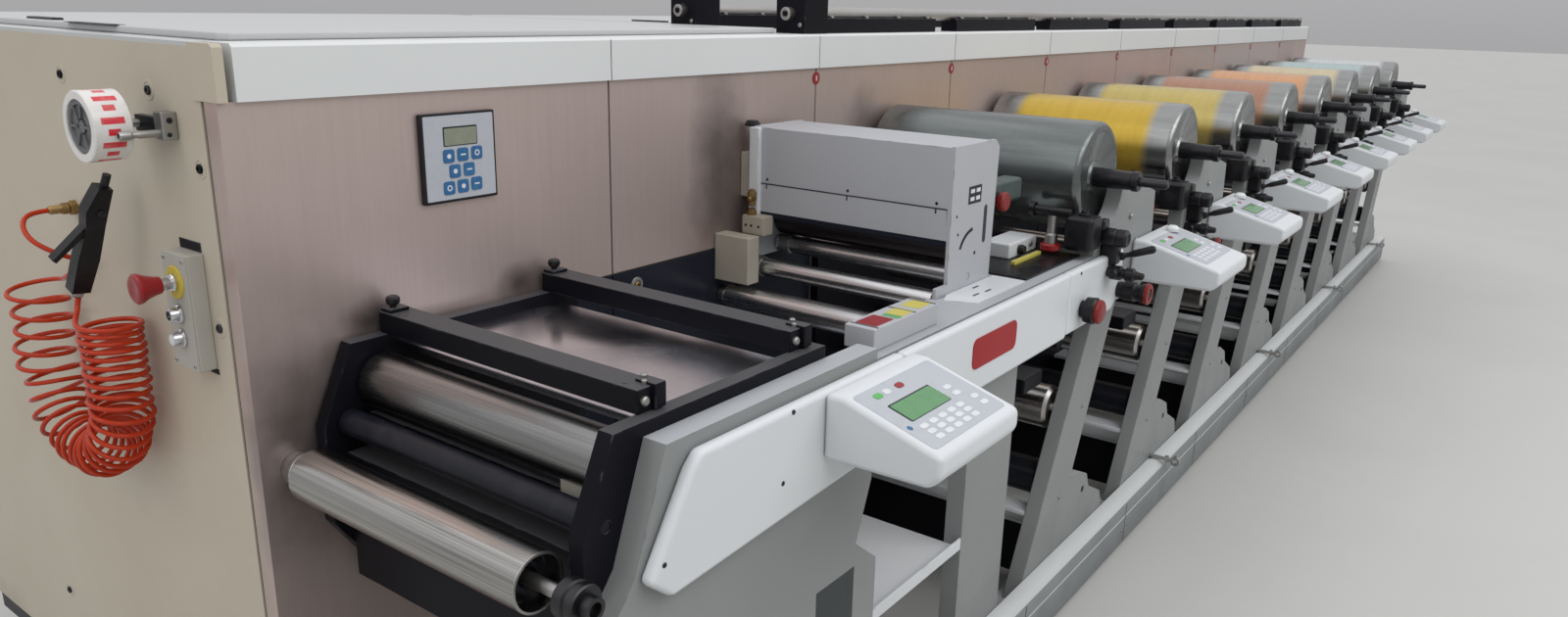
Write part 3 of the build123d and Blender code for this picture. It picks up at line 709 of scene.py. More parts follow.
def brushed(
    name, colour, smear, stretch, roughness=0.32, smears=0.5, scale=2.2, grease_and_shade=(), metallic=1.0
):
    finish = Finish(name, colour, roughness, metallic)
    grain = finish.effect(lines_group, stretch=stretch, low=0.25, high=0.75)
    cloudy = finish.effect(patches_group, scale=scale, low=0.38, high=0.72)
    finish.tint(finish.times(cloudy, smears), smear)
    finish.tint(finish.times(grain, 0.22), darker(colour, 0.6))
    # Dark spots round given places, painting grease and shade on the steel.
    for place, size, amount in grease_and_shade:
        grease_shade = finish.effect(grease_shade_spot_group, centre=at(*place), size=Vector(size) * MM)
        finish.tint(finish.times(grease_shade, amount), darker(colour, 0.12))
    finish.rough(cloudy, roughness + 0.15)
    return finish.bump(grain, 0.012).material


# The cabinet's steel is less metallic than bare metal, because it is filmed over. Dark spots of
# grease and painted shade lie behind the far end of each clamp bar, beside the infeed's far plate,
# behind the treater and behind the first drum, and a painted shadow runs along the table's edge.
GREASE_AND_SHADE = [
    ((196, -9, 1000), (60, 60, 46), 0.75),
    ((498, -9, 1004), (62, 60, 44), 0.8),
    ((350, -9, 925), (230, 60, 62), 0.85),
    ((100, -9, 840), (230, 60, 200), 0.65),
    ((1060, -9, 1150), (110, 60, 260), 0.7),
    ((1640, -9, 1200), (110, 60, 120), 0.5),
]
panel_steel = brushed(
    "panel_steel", (0.56, 0.455, 0.42), (0.42, 0.34, 0.31), (90, 90, 3), 0.42, 0.5, 1.1,
    GREASE_AND_SHADE, 0.75,
)
table_steel = brushed(
    "table_steel", (0.82, 0.84, 0.92), (0.34, 0.345, 0.39), (12, 160, 160), 0.16, 0.6, 5.0
)
machined_steel = brushed(
    "machined_steel", (0.50, 0.49, 0.475), (0.30, 0.28, 0.26), TURNED_GRAIN, 0.3
)
dark_steel = brushed(
    "dark_steel", (0.065, 0.065, 0.07), (0.03, 0.03, 0.034), TURNED_GRAIN, 0.34, 0.6
)
zinc = brushed("zinc", (0.42, 0.42, 0.41), (0.22, 0.20, 0.17), FINE_GRAIN, 0.36)
brass = brushed("brass", (0.40, 0.27, 0.11), (0.16, 0.10, 0.05), FINE_GRAIN, 0.4, 0.8)
slide_steel = brushed(
    "slide_steel", (0.42, 0.405, 0.39), (0.22, 0.19, 0.17), (1, 60, 60), 0.24, 0.7
)
print("with metals", len(bpy.data.materials))

# %% [markdown]
# Moulded plastic and rubber are not metallic, with a fine bump and pale scuffs.
#
# %% Plastics and rubber
def moulded(name, colour, scuff, roughness=0.4, scuffs=0.3, coat=0.0, gloss=0.5):
    finish = Finish(name, colour, roughness, 0.0, coat, gloss)
    worn = finish.effect(patches_group, scale=38.0, low=0.5, high=0.75)
    finish.tint(finish.times(worn, scuffs), scuff)
    finish.rough(worn, roughness + 0.2)
    return finish.bump(finish.effect(patches_group, scale=700.0, low=0.3, high=0.7), 0.02).material


black_plastic = moulded(
    "black_plastic", (0.006, 0.006, 0.008), (0.035, 0.035, 0.037), 0.34, gloss=0.35
)
black_rubber = moulded(
    "black_rubber", (0.008, 0.009, 0.014), (0.03, 0.031, 0.038), 0.32, 0.45, gloss=0.25
)
hose_orange = moulded(
    "hose_orange", (0.46, 0.033, 0.006), (0.31, 0.022, 0.005), 0.2, 0.4, 0.05, 0.25
)
button_red = moulded("button_red", (0.25, 0.007, 0.01), (0.16, 0.006, 0.009), 0.3, 0.4, 0.2, 0.35)
disc_yellow = moulded("disc_yellow", (0.55, 0.42, 0.03), (0.3, 0.24, 0.05), 0.45)
tape_white = moulded("tape_white", (0.66, 0.64, 0.62), (0.52, 0.48, 0.44), 0.3, 0.3, 0.3)
key_face = moulded("key_face", (0.62, 0.64, 0.68), (0.5, 0.5, 0.52), 0.35)
key_blue = moulded("key_blue", (0.02, 0.11, 0.26), (0.05, 0.22, 0.40), 0.3, 0.5)
key_green = moulded("key_green", (0.10, 0.42, 0.10), (0.08, 0.3, 0.08), 0.35)
pad_face = moulded("pad_face", (0.42, 0.44, 0.475), (0.32, 0.33, 0.35), 0.38)
screen_green = moulded("screen_green", (0.075, 0.24, 0.085), (0.05, 0.17, 0.06), 0.2, 0.5, 0.3)
screen_grey = moulded("screen_grey", (0.22, 0.24, 0.18), (0.16, 0.17, 0.12), 0.15, 0.6, 0.5)
label_yellow = moulded("label_yellow", (0.52, 0.46, 0.10), (0.4, 0.35, 0.1), 0.4)
label_green = moulded("label_green", (0.12, 0.32, 0.12), (0.1, 0.22, 0.1), 0.4)
dark_glass = moulded("dark_glass", (0.03, 0.036, 0.04), (0.05, 0.05, 0.052), 0.3, gloss=0.25)
print("with plastics", len(bpy.data.materials))

# %% [markdown]
# ## Lights and floor
#
# The studio is a dome, one large soft lamp on the operator's side, a long strip that draws a
# light line on each drum and roller, and a pale floor. The dome is bright from above and dimmer
# at the horizon, because a chrome roller in an evenly lit room would look like flat grey paint.
#
# %% Studio
DOME_TOP = 1.12
DOME_EDGE = 0.36
DOME_BLUE = 1.02
FLOOR_SIZE = 120
# Name, place, what it is aimed at, length, width and power.
LAMPS = [
    ("soft_lamp", (-1.5, -4.5, 4.6), (-0.5, -0.4, 0.9), 8.0, 2.5, 122.0),
    ("strip_lamp", (-5.4, 0.6, 3.7), (-1.4, 0.6, 1.1), 0.5, 5.0, 15.0),
]


def make_dome():
    world = bpy.data.worlds.new("studio")
    bpy.context.scene.world = world
    world.use_nodes = True
    tree = world.node_tree
    direction = add_node(tree, "TexCoord").outputs["Generated"]
    height = spread(tree, parts_of(tree, direction)["Z"], -0.05, 0.8)
    edge, top = [(level, level, level * DOME_BLUE, 1) for level in (DOME_EDGE, DOME_TOP)]
    ramp = add_node(tree, "Mix", {0: height, 6: edge, 7: top}, data_type="RGBA")
    feed(tree, tree.nodes["Background"].inputs["Color"], ramp.outputs[2])


def make_lamp(name, place, target, length, width, power):
    data = bpy.data.lights.new(name, "AREA")
    data.shape = "RECTANGLE"
    data.size, data.size_y, data.energy = length, width, power
    turn = (Vector(target) - Vector(place)).to_track_quat("-Z", "Y").to_matrix().to_4x4()
    new_object(name, data).matrix_world = Matrix.Translation(place) @ turn


def make_floor():
    select_only()
    bpy.ops.mesh.primitive_grid_add(x_subdivisions=4, y_subdivisions=4, size=FLOOR_SIZE)
    floor = settle("studio_floor")
    sealed = Finish("sealed_floor", (0.50, 0.50, 0.48), 0.5)
    sealed.tint(sealed.effect(patches_group, scale=0.8, low=0.4, high=0.8), (0.465, 0.465, 0.445))
    paint(floor, sealed.material)


bpy.context.scene.view_settings.view_transform = "Standard"
make_dome()
for lamp in LAMPS:
    make_lamp(*lamp)
make_floor()
print("lamps", len(LAMPS))

# %% [markdown]
# ## The cabinet
#
# The cabinet's own sheets are large and flat, and the frame has them right, so they keep their
# mesh and only get a finish. Each frame node is matched to a finish by its slot in the record.
#
# %% Finishes for the frame's nodes
FINISH_OF_SLOT = {
    "cream_paint": cream_paint,
    "dark_base": dark_base,
    "steel_sheet": panel_steel,
    "white_paint": band_white,
    "black_plastic": black_plastic,
    "black_metal": black_paint,
    "grey_green_paint": frame_grey,
    "black_rubber": black_rubber,
    "red_enamel": red_enamel,
    "dark_glass": dark_glass,
    "table_steel": table_steel,
    "treater_grey": treater_paint,
    "fitting_cream": fitting_paint,
    "white_tape": tape_white,
    "brass_fitting": brass,
    "orange_hose": hose_orange,
    "blue_black_paint": blue_black_paint,
}
slot_of = {part["node"]: part["material_slot"] for part in frame["record"]["subparts"]}
for node, piece in frame["nodes"].items():
    paint(piece, FINISH_OF_SLOT.get(slot_of[node], machined_steel))
paint(frame["nodes"]["deck"], deck_white)
print("finished nodes", len(frame["nodes"]))

# %% [markdown]
# Castings, folded plates and mouldings have rounded edges that catch the light, and a sharp edge
# gives a model away. These nodes are shown by a copy whose edges are rounded by the radius that
# the real part has: large on mouldings, small on cut plate.
#
# %% Rounded copies
ROUNDED = [
    ("infeed_covers", 9.0, 4, moulded_white),
    ("consoles", 10.0, 4, moulded_white),
    ("unit_frames", 2.5, 2, frame_grey),
    ("infeed_frame", 2.0, 2, frame_grey),
    ("treater_hood", 2.5, 2, treater_paint),
    ("treater_fittings", 3.0, 2, fitting_paint),
    ("label_box", 2.5, 2, treater_paint),
    ("clamp_bars", 2.0, 2, black_paint),
    ("splice_frame", 1.5, 2, black_paint),
    ("splice_apron", 1.5, 2, black_paint),
    ("infeed_pan", 1.0, 2, moulded_white),
    ("trays", 4.0, 2, black_paint),
    ("splice_table", 1.0, 2, table_steel),
    ("floor_rail", 4.0, 3, rail_paint),
    ("cross_bars", 1.5, 2, moulded_white),
    ("rail_bases", 2.0, 2, black_paint),
    ("deck_lids", 3.0, 2, deck_white),
    ("back_doors", 4.0, 3, cream_paint),
    ("shaft_bosses", 2.0, 2, machined_steel),
]
for node, radius, segments, material in ROUNDED:
    fit(paint(refined(node, radius, segments), material), slot_of[node], stands_for=[node])
print("rounded nodes", len(ROUNDED))

# %% [markdown]
# ## The drums
#
# A print drum is a chromed steel shell with a turned end cap: a rounded shoulder, a shallow dish
# and a black hub with a spindle in front. The ink film on each drum leaves its two ends bare, so
# the film is a band in the material, between two places along the axis. The first drum is clean
# and darker, so it has no film.
#
# %% Drum finish
DRUM_AXIS_Z = 1115.0
DRUM_FRONT = -585.0
DRUM_BACK = -22.0
DRUM_RADIUS = 132.0
FILM_FRONT = -508.0
FILM_BACK = -105.0
FILM_FADE = 14.0
UNITS = 8
BAY = 688.0
FIRST_DRUM_X = 1777.0
OTHER_UNITS = [unit * BAY for unit in range(1, UNITS)]
# Bare colour, the colour of its smears of wear and painted reflection, and how metallic it is.
FIRST_SHELL = (0.20, 0.215, 0.21), (0.075, 0.088, 0.088), 0.85
OTHER_SHELLS = (0.36, 0.365, 0.36), (0.16, 0.17, 0.17), 1.0
FILMS = [
    (0.56, 0.37, 0.03),
    (0.52, 0.41, 0.12),
    (0.40, 0.21, 0.14),
    (0.62, 0.33, 0.17),
    (0.58, 0.50, 0.33),
    (0.40, 0.50, 0.50),
    (0.56, 0.58, 0.58),
]


def band_mask(tree, start, end, fade):
    """1 between two places along Y, fading over a distance on both sides of each."""
    along = parts_of(tree, own_place(tree))["Y"]
    low, high, soft = at(0, start, 0).y, at(0, end, 0).y, fade * MM
    rise = spread(tree, along, low - soft, low + soft)
    return calculate(tree, "MULTIPLY", rise, spread(tree, along, high + soft, high - soft))


def chromed(name, x, z, colour, smear_and_reflection_dark, roughness=0.2, smears=6.0, metal=1.0):
    finish = Finish(name, colour, roughness, metal)
    marks = {"axis": at(x, 0, z), "smears": smears, "rings": 260.0}
    smear = finish.effect(roller_marks_and_reflections_group, "Smears", **marks)
    rings = finish.effect(roller_marks_and_reflections_group, "Rings", **marks)
    # The smears darken the chrome: oil and ink, and painted reflection bands.
    finish.tint(finish.times(smear, 0.75), smear_and_reflection_dark)
    finish.tint(finish.times(rings, 0.25), darker(colour, 0.7))
    finish.rough(smear, roughness + 0.14)
    return finish.bump(rings, 0.008)


def drum_finish(unit):
    x, smears = FIRST_DRUM_X + unit * BAY, 2.2
    bare, worn, metal = OTHER_SHELLS if unit else FIRST_SHELL
    finish = chromed("drum_film_%d" % (unit + 1), x, DRUM_AXIS_Z, bare, worn, 0.2, smears, metal)
    if unit:
        ink = FILMS[unit - 1]
        film = band_mask(finish.tree, FILM_FRONT, FILM_BACK, FILM_FADE)
        finish.tint(finish.times(film, 0.92), ink)
        marks = {"axis": at(x, 0, DRUM_AXIS_Z), "smears": smears, "rings": 46.0}
        streaks = finish.effect(roller_marks_and_reflections_group, "Rings", **marks)
        finish.tint(finish.times(finish.times(streaks, film), 0.35), darker(ink, 0.6))
        finish.metal(film, 0.55, 1.0)
    return finish.material


# %% [markdown]
# The shell's profile is drawn from the back rim to the middle of the dish: the rim, the long
# cylinder, five points round the shoulder, a bead and the dished face. The hub is a separate
# turned part in black, with a collar, the spindle and its chamfered end.
#
# %% Drums
SHOULDER = 16.0
DISH = 14.0


def shell_profile():
    length, flat = DRUM_BACK - DRUM_FRONT, DRUM_RADIUS - SHOULDER
    points = [(0, 40), (0, DRUM_RADIUS - 3), (3, DRUM_RADIUS), (length - SHOULDER, DRUM_RADIUS)]
    for step in range(1, 6):
        turn = step * math.pi / 10
        along = length - SHOULDER + SHOULDER * math.sin(turn)
        points.append((along, flat + SHOULDER * math.cos(turn)))
    points += [(length, flat - 5), (length - 3, flat - 9), (length - DISH, 62), (length - DISH, 40)]
    return points + [(length - DISH + 6, 36), (length - DISH + 6, 20)]


def make_drums():
    hub = [(-20, 20), (-20, 24), (82, 21.5), (84, 24), (96, 24), (99, 22), (99, 0)]
    spindle = [(96, 0), (96, 11), (160, 11), (166, 7), (166, 0)]
    first = {}
    for part, start, profile, steps in (
        ("shell", DRUM_BACK, shell_profile(), 96),
        ("hub", DRUM_FRONT, hub, 32),
        ("spindle", DRUM_FRONT, spindle, 24),
    ):
        towards_front = [(-along, radius) for along, radius in profile]
        place = (FIRST_DRUM_X, start, DRUM_AXIS_Z)
        first[part] = turned("drum_%s_1" % part, "y", place, towards_front, steps)
    first["stub"] = rod("drum_stub_1", "y", (FIRST_DRUM_X, -11.5, DRUM_AXIS_Z), 17, 22)
    for unit in range(UNITS):
        body = "drum_%d" % (unit + 1)
        for part, finish, slot, stands_for in (
            ("shell", drum_finish(unit), slot_of[body], [body]),
            ("hub", black_plastic, "black_plastic", []),
            ("spindle", dark_steel, "ground_steel", []),
            ("stub", machined_steel, "ground_steel", []),
        ):
            name = "drum_%s_%d" % (part, unit + 1)
            piece = copy_to(first[part], name, unit * BAY) if unit else first[part]
            fit(paint(piece, finish), slot, body, stands_for)


make_drums()
print("drums", UNITS)

# %% [markdown]
# ## The rollers
#
# The web runs over chromed rollers at the infeed and in the treater. Each is turned with a small
# chamfer at its ends and journals that reach into the side plates.
#
# %% Rollers
JOURNAL = 8
TABLE_CHROME = (0.34, 0.34, 0.34)
TREATER_CHROME = (0.80, 0.80, 0.82)
# Node, x, z, radius, both ends of the roller, both ends of its journals, and its chrome.
ROLLERS = [
    ("table_roller", 190, 915, 44, -561, -37, -590, -8, TABLE_CHROME),
    ("guide_roller", 128, 862, 21, -561, -37, -590, -8, None),
    ("idle_roller", 1076, 865, 28, -587, -23, -609.7, -0.3, TREATER_CHROME),
    ("treater_roller_upper", 1226, 967, 20, -515, -47, -527, -35, TREATER_CHROME),
    ("treater_roller_lower", 1116, 935, 20, -515, -47, -527, -35, TREATER_CHROME),
]
for node, x, z, radius, front, back, tip, tail, bright in ROLLERS:
    finish = black_rubber
    if bright:
        # Chrome whose smears are partly painted reflection bands.
        finish = chromed(node + "_chrome", x, z, bright, darker(bright, 0.35)).material
    profile = [
        (tip, 0), (tip, JOURNAL), (front, JOURNAL), (front, radius - 2), (front + 2, radius),
        (back - 2, radius), (back, radius - 2), (back, JOURNAL), (tail, JOURNAL), (tail, 0),
    ]
    piece = turned(node + "_turned", "y", (x, 0, z), profile, 64)
    fit(paint(piece, finish), slot_of[node], node, [node])
print("web rollers", len(ROLLERS))

# %% [markdown]
# Between the legs of each unit run a steel roller and, lower down, a dark rubber one. They don't
# turn in this model, so all eight pairs are copied from the first and joined by finish.
#
# %% Lower rollers
LOWER_ROLLERS = [
    ("upper_rollers_turned", -45, 530, 55, slide_steel, "ground_steel", ["lower_rollers"]),
    ("lower_rollers_turned", -70, 345, 46, black_rubber, "black_rubber", []),
]
for name, from_drum, z, radius, finish, slot, stands_for in LOWER_ROLLERS:
    profile = [
        (-552, 0), (-552, 14), (-545, 14), (-545, radius - 8), (-540, radius - 3), (-537, radius),
        (-40, radius), (-37, radius - 3), (-37, 14), (-22, 14), (-22, 0),
    ]
    first = turned(name, "y", (FIRST_DRUM_X + from_drum, 0, z), profile, 48)
    row = join(name, [first, *(copy_to(first, name + "_copy", shift) for shift in OTHER_UNITS)])
    fit(paint(row, finish), slot, stands_for=stands_for)
print("lower rollers", 2 * UNITS)

# %% [markdown]
# The draw roller in front of the table has an open end with a bright rim, a shaft, and a black
# knob whose rim is cut into castles so that an oily hand can turn it. The rollers that turn are
# one piece each, so its five turned parts are joined.
#
# %% Draw roller
DRAW_X = 56.0
DRAW_Z = 800.0


def make_draw_roller():
    # The dark colour is for the smears, which are partly painted reflection bands.
    bright, smear_and_reflection_dark = (0.52, 0.515, 0.495), (0.13, 0.12, 0.11)
    shell = chromed("draw_roller_chrome", DRAW_X, DRAW_Z, bright, smear_and_reflection_dark, 0.14, 14.0).material
    outside = [
        (-45, 12), (-45, 39), (-47, 41), (-543, 41), (-545, 40), (-545, 38.4), (-543, 38),
        (-543, 37.5), (-45, 12),
    ]
    inside = [
        (-544.2, 38.2), (-516, 37.6), (-516, 20), (-524, 19.5), (-524, 15), (-516, 14.5), (-516, 9),
        (-512, 9),
    ]
    rim = [(-543, 37.2), (-545.2, 37.2), (-545.2, 40.7), (-543, 40.7), (-543, 37.2)]
    shaft = [(-0.3, 0), (-0.3, 12), (-512, 12), (-512, 9.5), (-596, 9.5), (-596, 0)]
    knob = [
        (-593, 12), (-593, 24), (-596, 27), (-610, 27), (-612, 24), (-616, 24), (-618, 27),
        (-628, 27), (-630, 25), (-630, 16), (-645, 16), (-645, 10), (-636, 9), (-636, 0),
    ]
    pieces = []
    for finish, profile, steps in (
        (shell, outside, 64),
        (black_paint, inside, 48),
        (machined_steel, rim, 64),
        (machined_steel, shaft, 32),
        (dark_steel, knob, 36),
    ):
        piece = turned("draw_roller_part", "y", (DRAW_X, 0, DRAW_Z), profile, steps)
        pieces.append(paint(piece, finish))
    roller = join("draw_roller_dressed", pieces)
    fit(roller, "chrome_roller", "draw_roller", ["draw_roller"])
    print("draw roller parts", len(pieces))


make_draw_roller()

# %% [markdown]
# ## Kits of small pieces
#
# The press carries hundreds of small pieces: buttons, knobs, screws, labels. Those that never
# move are gathered in a kit and joined by finish, so that a kit becomes a few tidy objects. A
# kit that repeats along the machine is modelled for one place and copied to the others. A table
# lists a slot of the record for each finish, black plastic for the rest, and fit is handed it but
# doesn't use it.
#
# %% Kits
FINISHES_OF_SLOT = {
    "black_metal": [black_paint],
    "ground_steel": [machined_steel, zinc, slide_steel],
    "brass_fitting": [brass],
    "white_paint": [band_white, moulded_white, pad_face, key_face],
    "treater_grey": [treater_paint, stop_grey],
    "fitting_cream": [fitting_paint],
    "red_enamel": [button_red],
}
slot_of_finish = {
    finish: slot for slot, finishes in FINISHES_OF_SLOT.items() for finish in finishes
}


class Kit:
    def __init__(self, name):
        self.name = name
        self.pieces = {}

    def add(self, finish, *pieces):
        self.pieces.setdefault(finish, []).extend(pieces)

    def repeat(self, shifts):
        for pieces in self.pieces.values():
            for piece in list(pieces):
                pieces += [copy_to(piece, piece.name + "_copy", shift) for shift in shifts]

    def close(self, stands_for=()):
        for finish, pieces in self.pieces.items():
            piece = paint(join("%s_%s" % (self.name, finish.name), pieces), finish)
            fit(piece, slot_of_finish.get(finish, "black_plastic"), stands_for=stands_for)
        print(self.name, "finishes", len(self.pieces))


def rounded_outline(low_a, high_a, low_b, high_b, radius, steps=5):
    """A rectangle with round corners, in the two directions of a flat part."""
    points = []
    corners = ((high_a, high_b), (low_a, high_b), (low_a, low_b), (high_a, low_b))
    for quarter, (a, b) in enumerate(corners):
        middle_a = a - radius if quarter in (0, 3) else a + radius
        middle_b = b - radius if quarter in (0, 1) else b + radius
        for step in range(steps + 1):
            turn = math.pi / 2 * (quarter + step / steps)
            points.append((middle_a + radius * math.cos(turn), middle_b + radius * math.sin(turn)))
    return points


def socket_screw(name, axis, place, radius, height):
    """A cap screw with its hexagonal socket, standing out from a face towards the low side."""
    top, floor = -height, -height * 0.3
    profile = [(1, 0), (1, radius), (top + 1, radius), (top, radius - 1), (top, radius * 0.5)]
    return turned(name, axis, place, profile + [(floor, radius * 0.5), (floor, 0)], 18)


def hole_shade_disc(name, axis, place, radius, out=-1):
    """The mouth of a deep hole as painted shade: a thin black disc set on the face, with a soft
    edge.
    """
    profile = [(0.2, 0), (0.2, radius), (-0.4, radius), (-0.7, radius - 0.6), (-0.7, 0)]
    return turned(name, axis, place, [(-along * out, wide) for along, wide in profile], 24)


# %% [markdown]
# ## The near end wall
#
# Beside the hose hang the things an operator reaches for: a roll of splicing tape on an arm, and
# a small control box with an emergency stop. The tape roll is a turned ring. Its print is a
# plain row of red bars, long and short, made by the material from the angle round the roll's
# axis, which counts the bars, and from the place across the tape, which gives their width.
#
# %% Tape print
TAPE_MIDDLE = (-75.0, 186.0, 1312.0)
TAPE_RADIUS = 50.0
TAPE_BORE = 38.0
TAPE_HALF = 25.0
BARS_ROUND = 9
BAR_EDGE = 0.03
# Start and end as a share of one step round the roll, half the width in metres, and its edge.
BARS = [(0.04, 0.34, 0.0155, 0.0007), (0.50, 0.80, 0.0082, 0.0006)]


def printed_tape():
    finish = Finish("printed_tape", (0.70, 0.685, 0.66), 0.28, coat=0.3)
    tree = finish.tree
    place = parts_of(tree, vectors(tree, "SUBTRACT", own_place(tree), at(*TAPE_MIDDLE))["Vector"])
    angle = calculate(tree, "ARCTAN2", place["Z"], place["Y"])
    beat = calculate(tree, "FRACT", finish.times(angle, BARS_ROUND / math.tau))
    across = calculate(tree, "ABSOLUTE", place["X"])
    masks = []
    for start, end, width, edge in BARS:
        begins = spread(tree, beat, start, start + BAR_EDGE)
        ends = spread(tree, beat, end, end - BAR_EDGE)
        wide = spread(tree, across, width, width - edge)
        masks.append(finish.times(finish.times(ends, wide), begins))
    face = spread(tree, across, 0.0245, 0.024)
    finish.tint(finish.times(calculate(tree, "MAXIMUM", *masks), face), (0.62, 0.02, 0.035))
    creases = finish.effect(patches_group, scale=55.0, low=0.5, high=0.7)
    finish.tint(finish.times(creases, 0.25), (0.52, 0.48, 0.44))
    return finish.bump(creases, 0.15).material


# %% [markdown]
# The roll sits on a grey plastic hub with six ribs, which turns on an axle. A block on the wall
# carries a strap with the axle, and a guide rod beside it keeps the loose end of the tape.
#
# %% Tape roll and arm
ARM_Y = 128.0
ARM_BACK = -10.0
ARM_FRONT = -22.0
RIBS = 6


def make_tape():
    x, y, z = TAPE_MIDDLE
    outer, bore, half = TAPE_RADIUS, TAPE_BORE, TAPE_HALF
    ring = [
        (-half, bore), (-half, outer - 1.5), (1.5 - half, outer), (half - 1.5, outer),
        (half, outer - 1.5), (half, bore), (-half, bore),
    ]
    roll = turned("tape_roll_wound", "x", TAPE_MIDDLE, ring, 72)
    fit(paint(roll, printed_tape()), "white_tape", stands_for=["tape_roll"])
    kit = Kit("tape_holder")
    hub = [
        (-half + 4, 0), (-half + 4, 9), (-half + 9, 9), (-half + 9, 13), (-half + 5, 13),
        (-half + 5, 30), (-half + 2, 31), (-half + 2, 37), (half - 2, 37), (half - 2, 0),
    ]
    kit.add(grey_dark, turned("tape_hub", "x", TAPE_MIDDLE, hub, 48))
    rib = box("tape_rib", (x - half + 1.5, y - 1.5, z + 12), (x - half + 8, y + 1.5, z + 31))
    for number in range(RIBS):
        spoke = copy_to(rib, "tape_rib_turned") if number else rib
        kit.add(grey_dark, rotated(spoke, "x", 360 / RIBS * number + 15, TAPE_MIDDLE))
    guide = [
        (ARM_FRONT, 0), (ARM_FRONT, 5.5), (-48, 5.5), (-50, 4.5), (-58, 4.5), (-60, 6.5),
        (-73, 6.5), (-75, 5.5), (-75, 3), (-66, 3), (-66, 0),
    ]
    axle = [(x + half - 3, 0), (x + half - 3, 6), (ARM_BACK, 6), (ARM_BACK, 0)]
    block = box("arm_block", (ARM_FRONT, ARM_Y - 12, z - 20), (0, ARM_Y + 12, z + 20))
    strap = box("arm_strap", (ARM_FRONT, ARM_Y + 11, z - 12), (ARM_BACK, y + 12, z + 12))
    kit.add(
        zinc,
        round_edges(block, 2.5),
        turned("guide_rod", "x", (0, ARM_Y, z - 10), guide, 24),
        turned("hub_axle", "x", (0, y, z), axle, 24),
    )
    kit.add(
        black_paint,
        round_edges(strap, 1.5),
        hole_shade_disc("arm_bore", "y", (-11, ARM_Y - 12, z + 8), 4.5),
        hole_shade_disc("arm_bore_low", "y", (-13, ARM_Y - 12, z - 12), 3.5),
    )
    kit.close(["tape_arm"])


grey_dark = moulded("grey_dark", (0.11, 0.115, 0.12), (0.2, 0.2, 0.2), 0.45)
make_tape()

# %% [markdown]
# The control box is a cast housing with a cover plate. The emergency stop is a turned mushroom
# head on a chrome stem over a yellow ring, and below it are two push buttons with chrome rings.
# The wall is cut out a little larger than the box, and the dark slots above and below it are black
# boxes that paint the shade in the gaps.
#
# %% Control box
STOP_Y = 126.5
STOP_LOW = 953.0
STOP_TOP = 1130.0
STOP_FRONT = -28.0
STOP_HALF = 35.5
RING = [
    (1, 0), (1, 15), (-3, 15), (-5, 13.5), (-5, 11.5), (-14, 10.5), (-16, 9.5), (-16, 7.5),
    (-12, 7.5), (-12, 0),
]
HEAD = [
    (-22, 0), (-22, 12.5), (-30, 14), (-42, 18), (-50, 22), (-54, 22.5), (-57, 20), (-58, 16),
    (-57, 11), (-56.6, 5), (-56.4, 0),
]


def make_stop_box():
    kit = Kit("control_box")
    left, right = STOP_Y - STOP_HALF, STOP_Y + STOP_HALF
    housing = box("stop_housing", (STOP_FRONT + 3, left, STOP_LOW), (0.4, right, STOP_TOP))
    cover_top = (STOP_FRONT + 3.5, right - 1, STOP_TOP - 1)
    cover = box("stop_cover", (STOP_FRONT, left + 1, STOP_LOW + 1), cover_top)
    kit.add(stop_grey, round_edges(housing, 2.5, 3), round_edges(cover, 1.2, 2))
    for y in (left + 8, right - 8):
        for z in (STOP_LOW + 9, STOP_TOP - 9):
            kit.add(zinc, socket_screw("cover_screw", "x", (STOP_FRONT, y, z), 3.6, 1.6))
    disc = [(0.5, 0), (0.5, 25), (-1.5, 25), (-2.5, 24), (-2.5, 0)]
    stem = [(1, 0), (1, 14), (-6, 14), (-8, 12), (-8, 9), (-26, 9), (-26, 0)]
    black_cap = [(-4, 0), (-4, 10), (-13, 10), (-14, 8.5), (-14, 0)]
    white_cap = [(-4, 0), (-4, 9), (-15, 9), (-16.6, 7), (-16.9, 0)]
    for finish, name, z, profile, steps in (
        (disc_yellow, "stop_disc", 1086.5, disc, 40),
        (chrome, "stop_stem", 1086.5, stem, 32),
        (button_red, "stop_head", 1086.5, HEAD, 40),
        (chrome, "button_ring", 1038.5, RING, 32),
        (black_plastic, "button_cap", 1038.5, black_cap, 28),
        (chrome, "button_ring", 1001.5, RING, 32),
        (key_face, "button_cap", 1001.5, white_cap, 28),
    ):
        kit.add(finish, turned(name, "x", (STOP_FRONT, STOP_Y, z), profile, steps))
    # Black boxes paint the shade in the gaps round the box.
    kit.add(
        black_paint,
        box("cutout_shade_above", (-0.8, 95, STOP_TOP + 0.5), (0.5, 158, STOP_TOP + 15)),
        box("cutout_shade_below", (-0.8, 88, STOP_LOW - 9), (0.5, 112, STOP_LOW - 0.5)),
    )
    kit.close(["stop_box"])


chrome = brushed("chrome", (0.60, 0.60, 0.61), (0.40, 0.40, 0.41), TURNED_GRAIN, 0.12, 0.3)
make_stop_box()

# %% [markdown]
# The end wall is held by cap screws, each sunk in a painted ring. The lower ones are a guess, in
# line with those that the photograph shows.
#
# %% Wall screws
WALL_SCREWS = [
    (488, 1363), (191, 1357), (66, 1256), (68, 1021), (850, 1363), (1240, 1300), (1240, 500),
    (850, 300),
]


def make_wall_screws():
    kit = Kit("wall_screws")
    for y, z in WALL_SCREWS:
        ring = [(0.4, 0), (0.4, 15), (-0.6, 15), (-1.2, 14), (-1.2, 12.5), (-0.5, 12), (-0.5, 0)]
        kit.add(cream_paint, turned("screw_seat", "x", (0, y, z), ring, 28))
        kit.add(black_paint, socket_screw("wall_screw", "x", (-0.5, y, z), 7, 3.5))
    kit.close()


make_wall_screws()

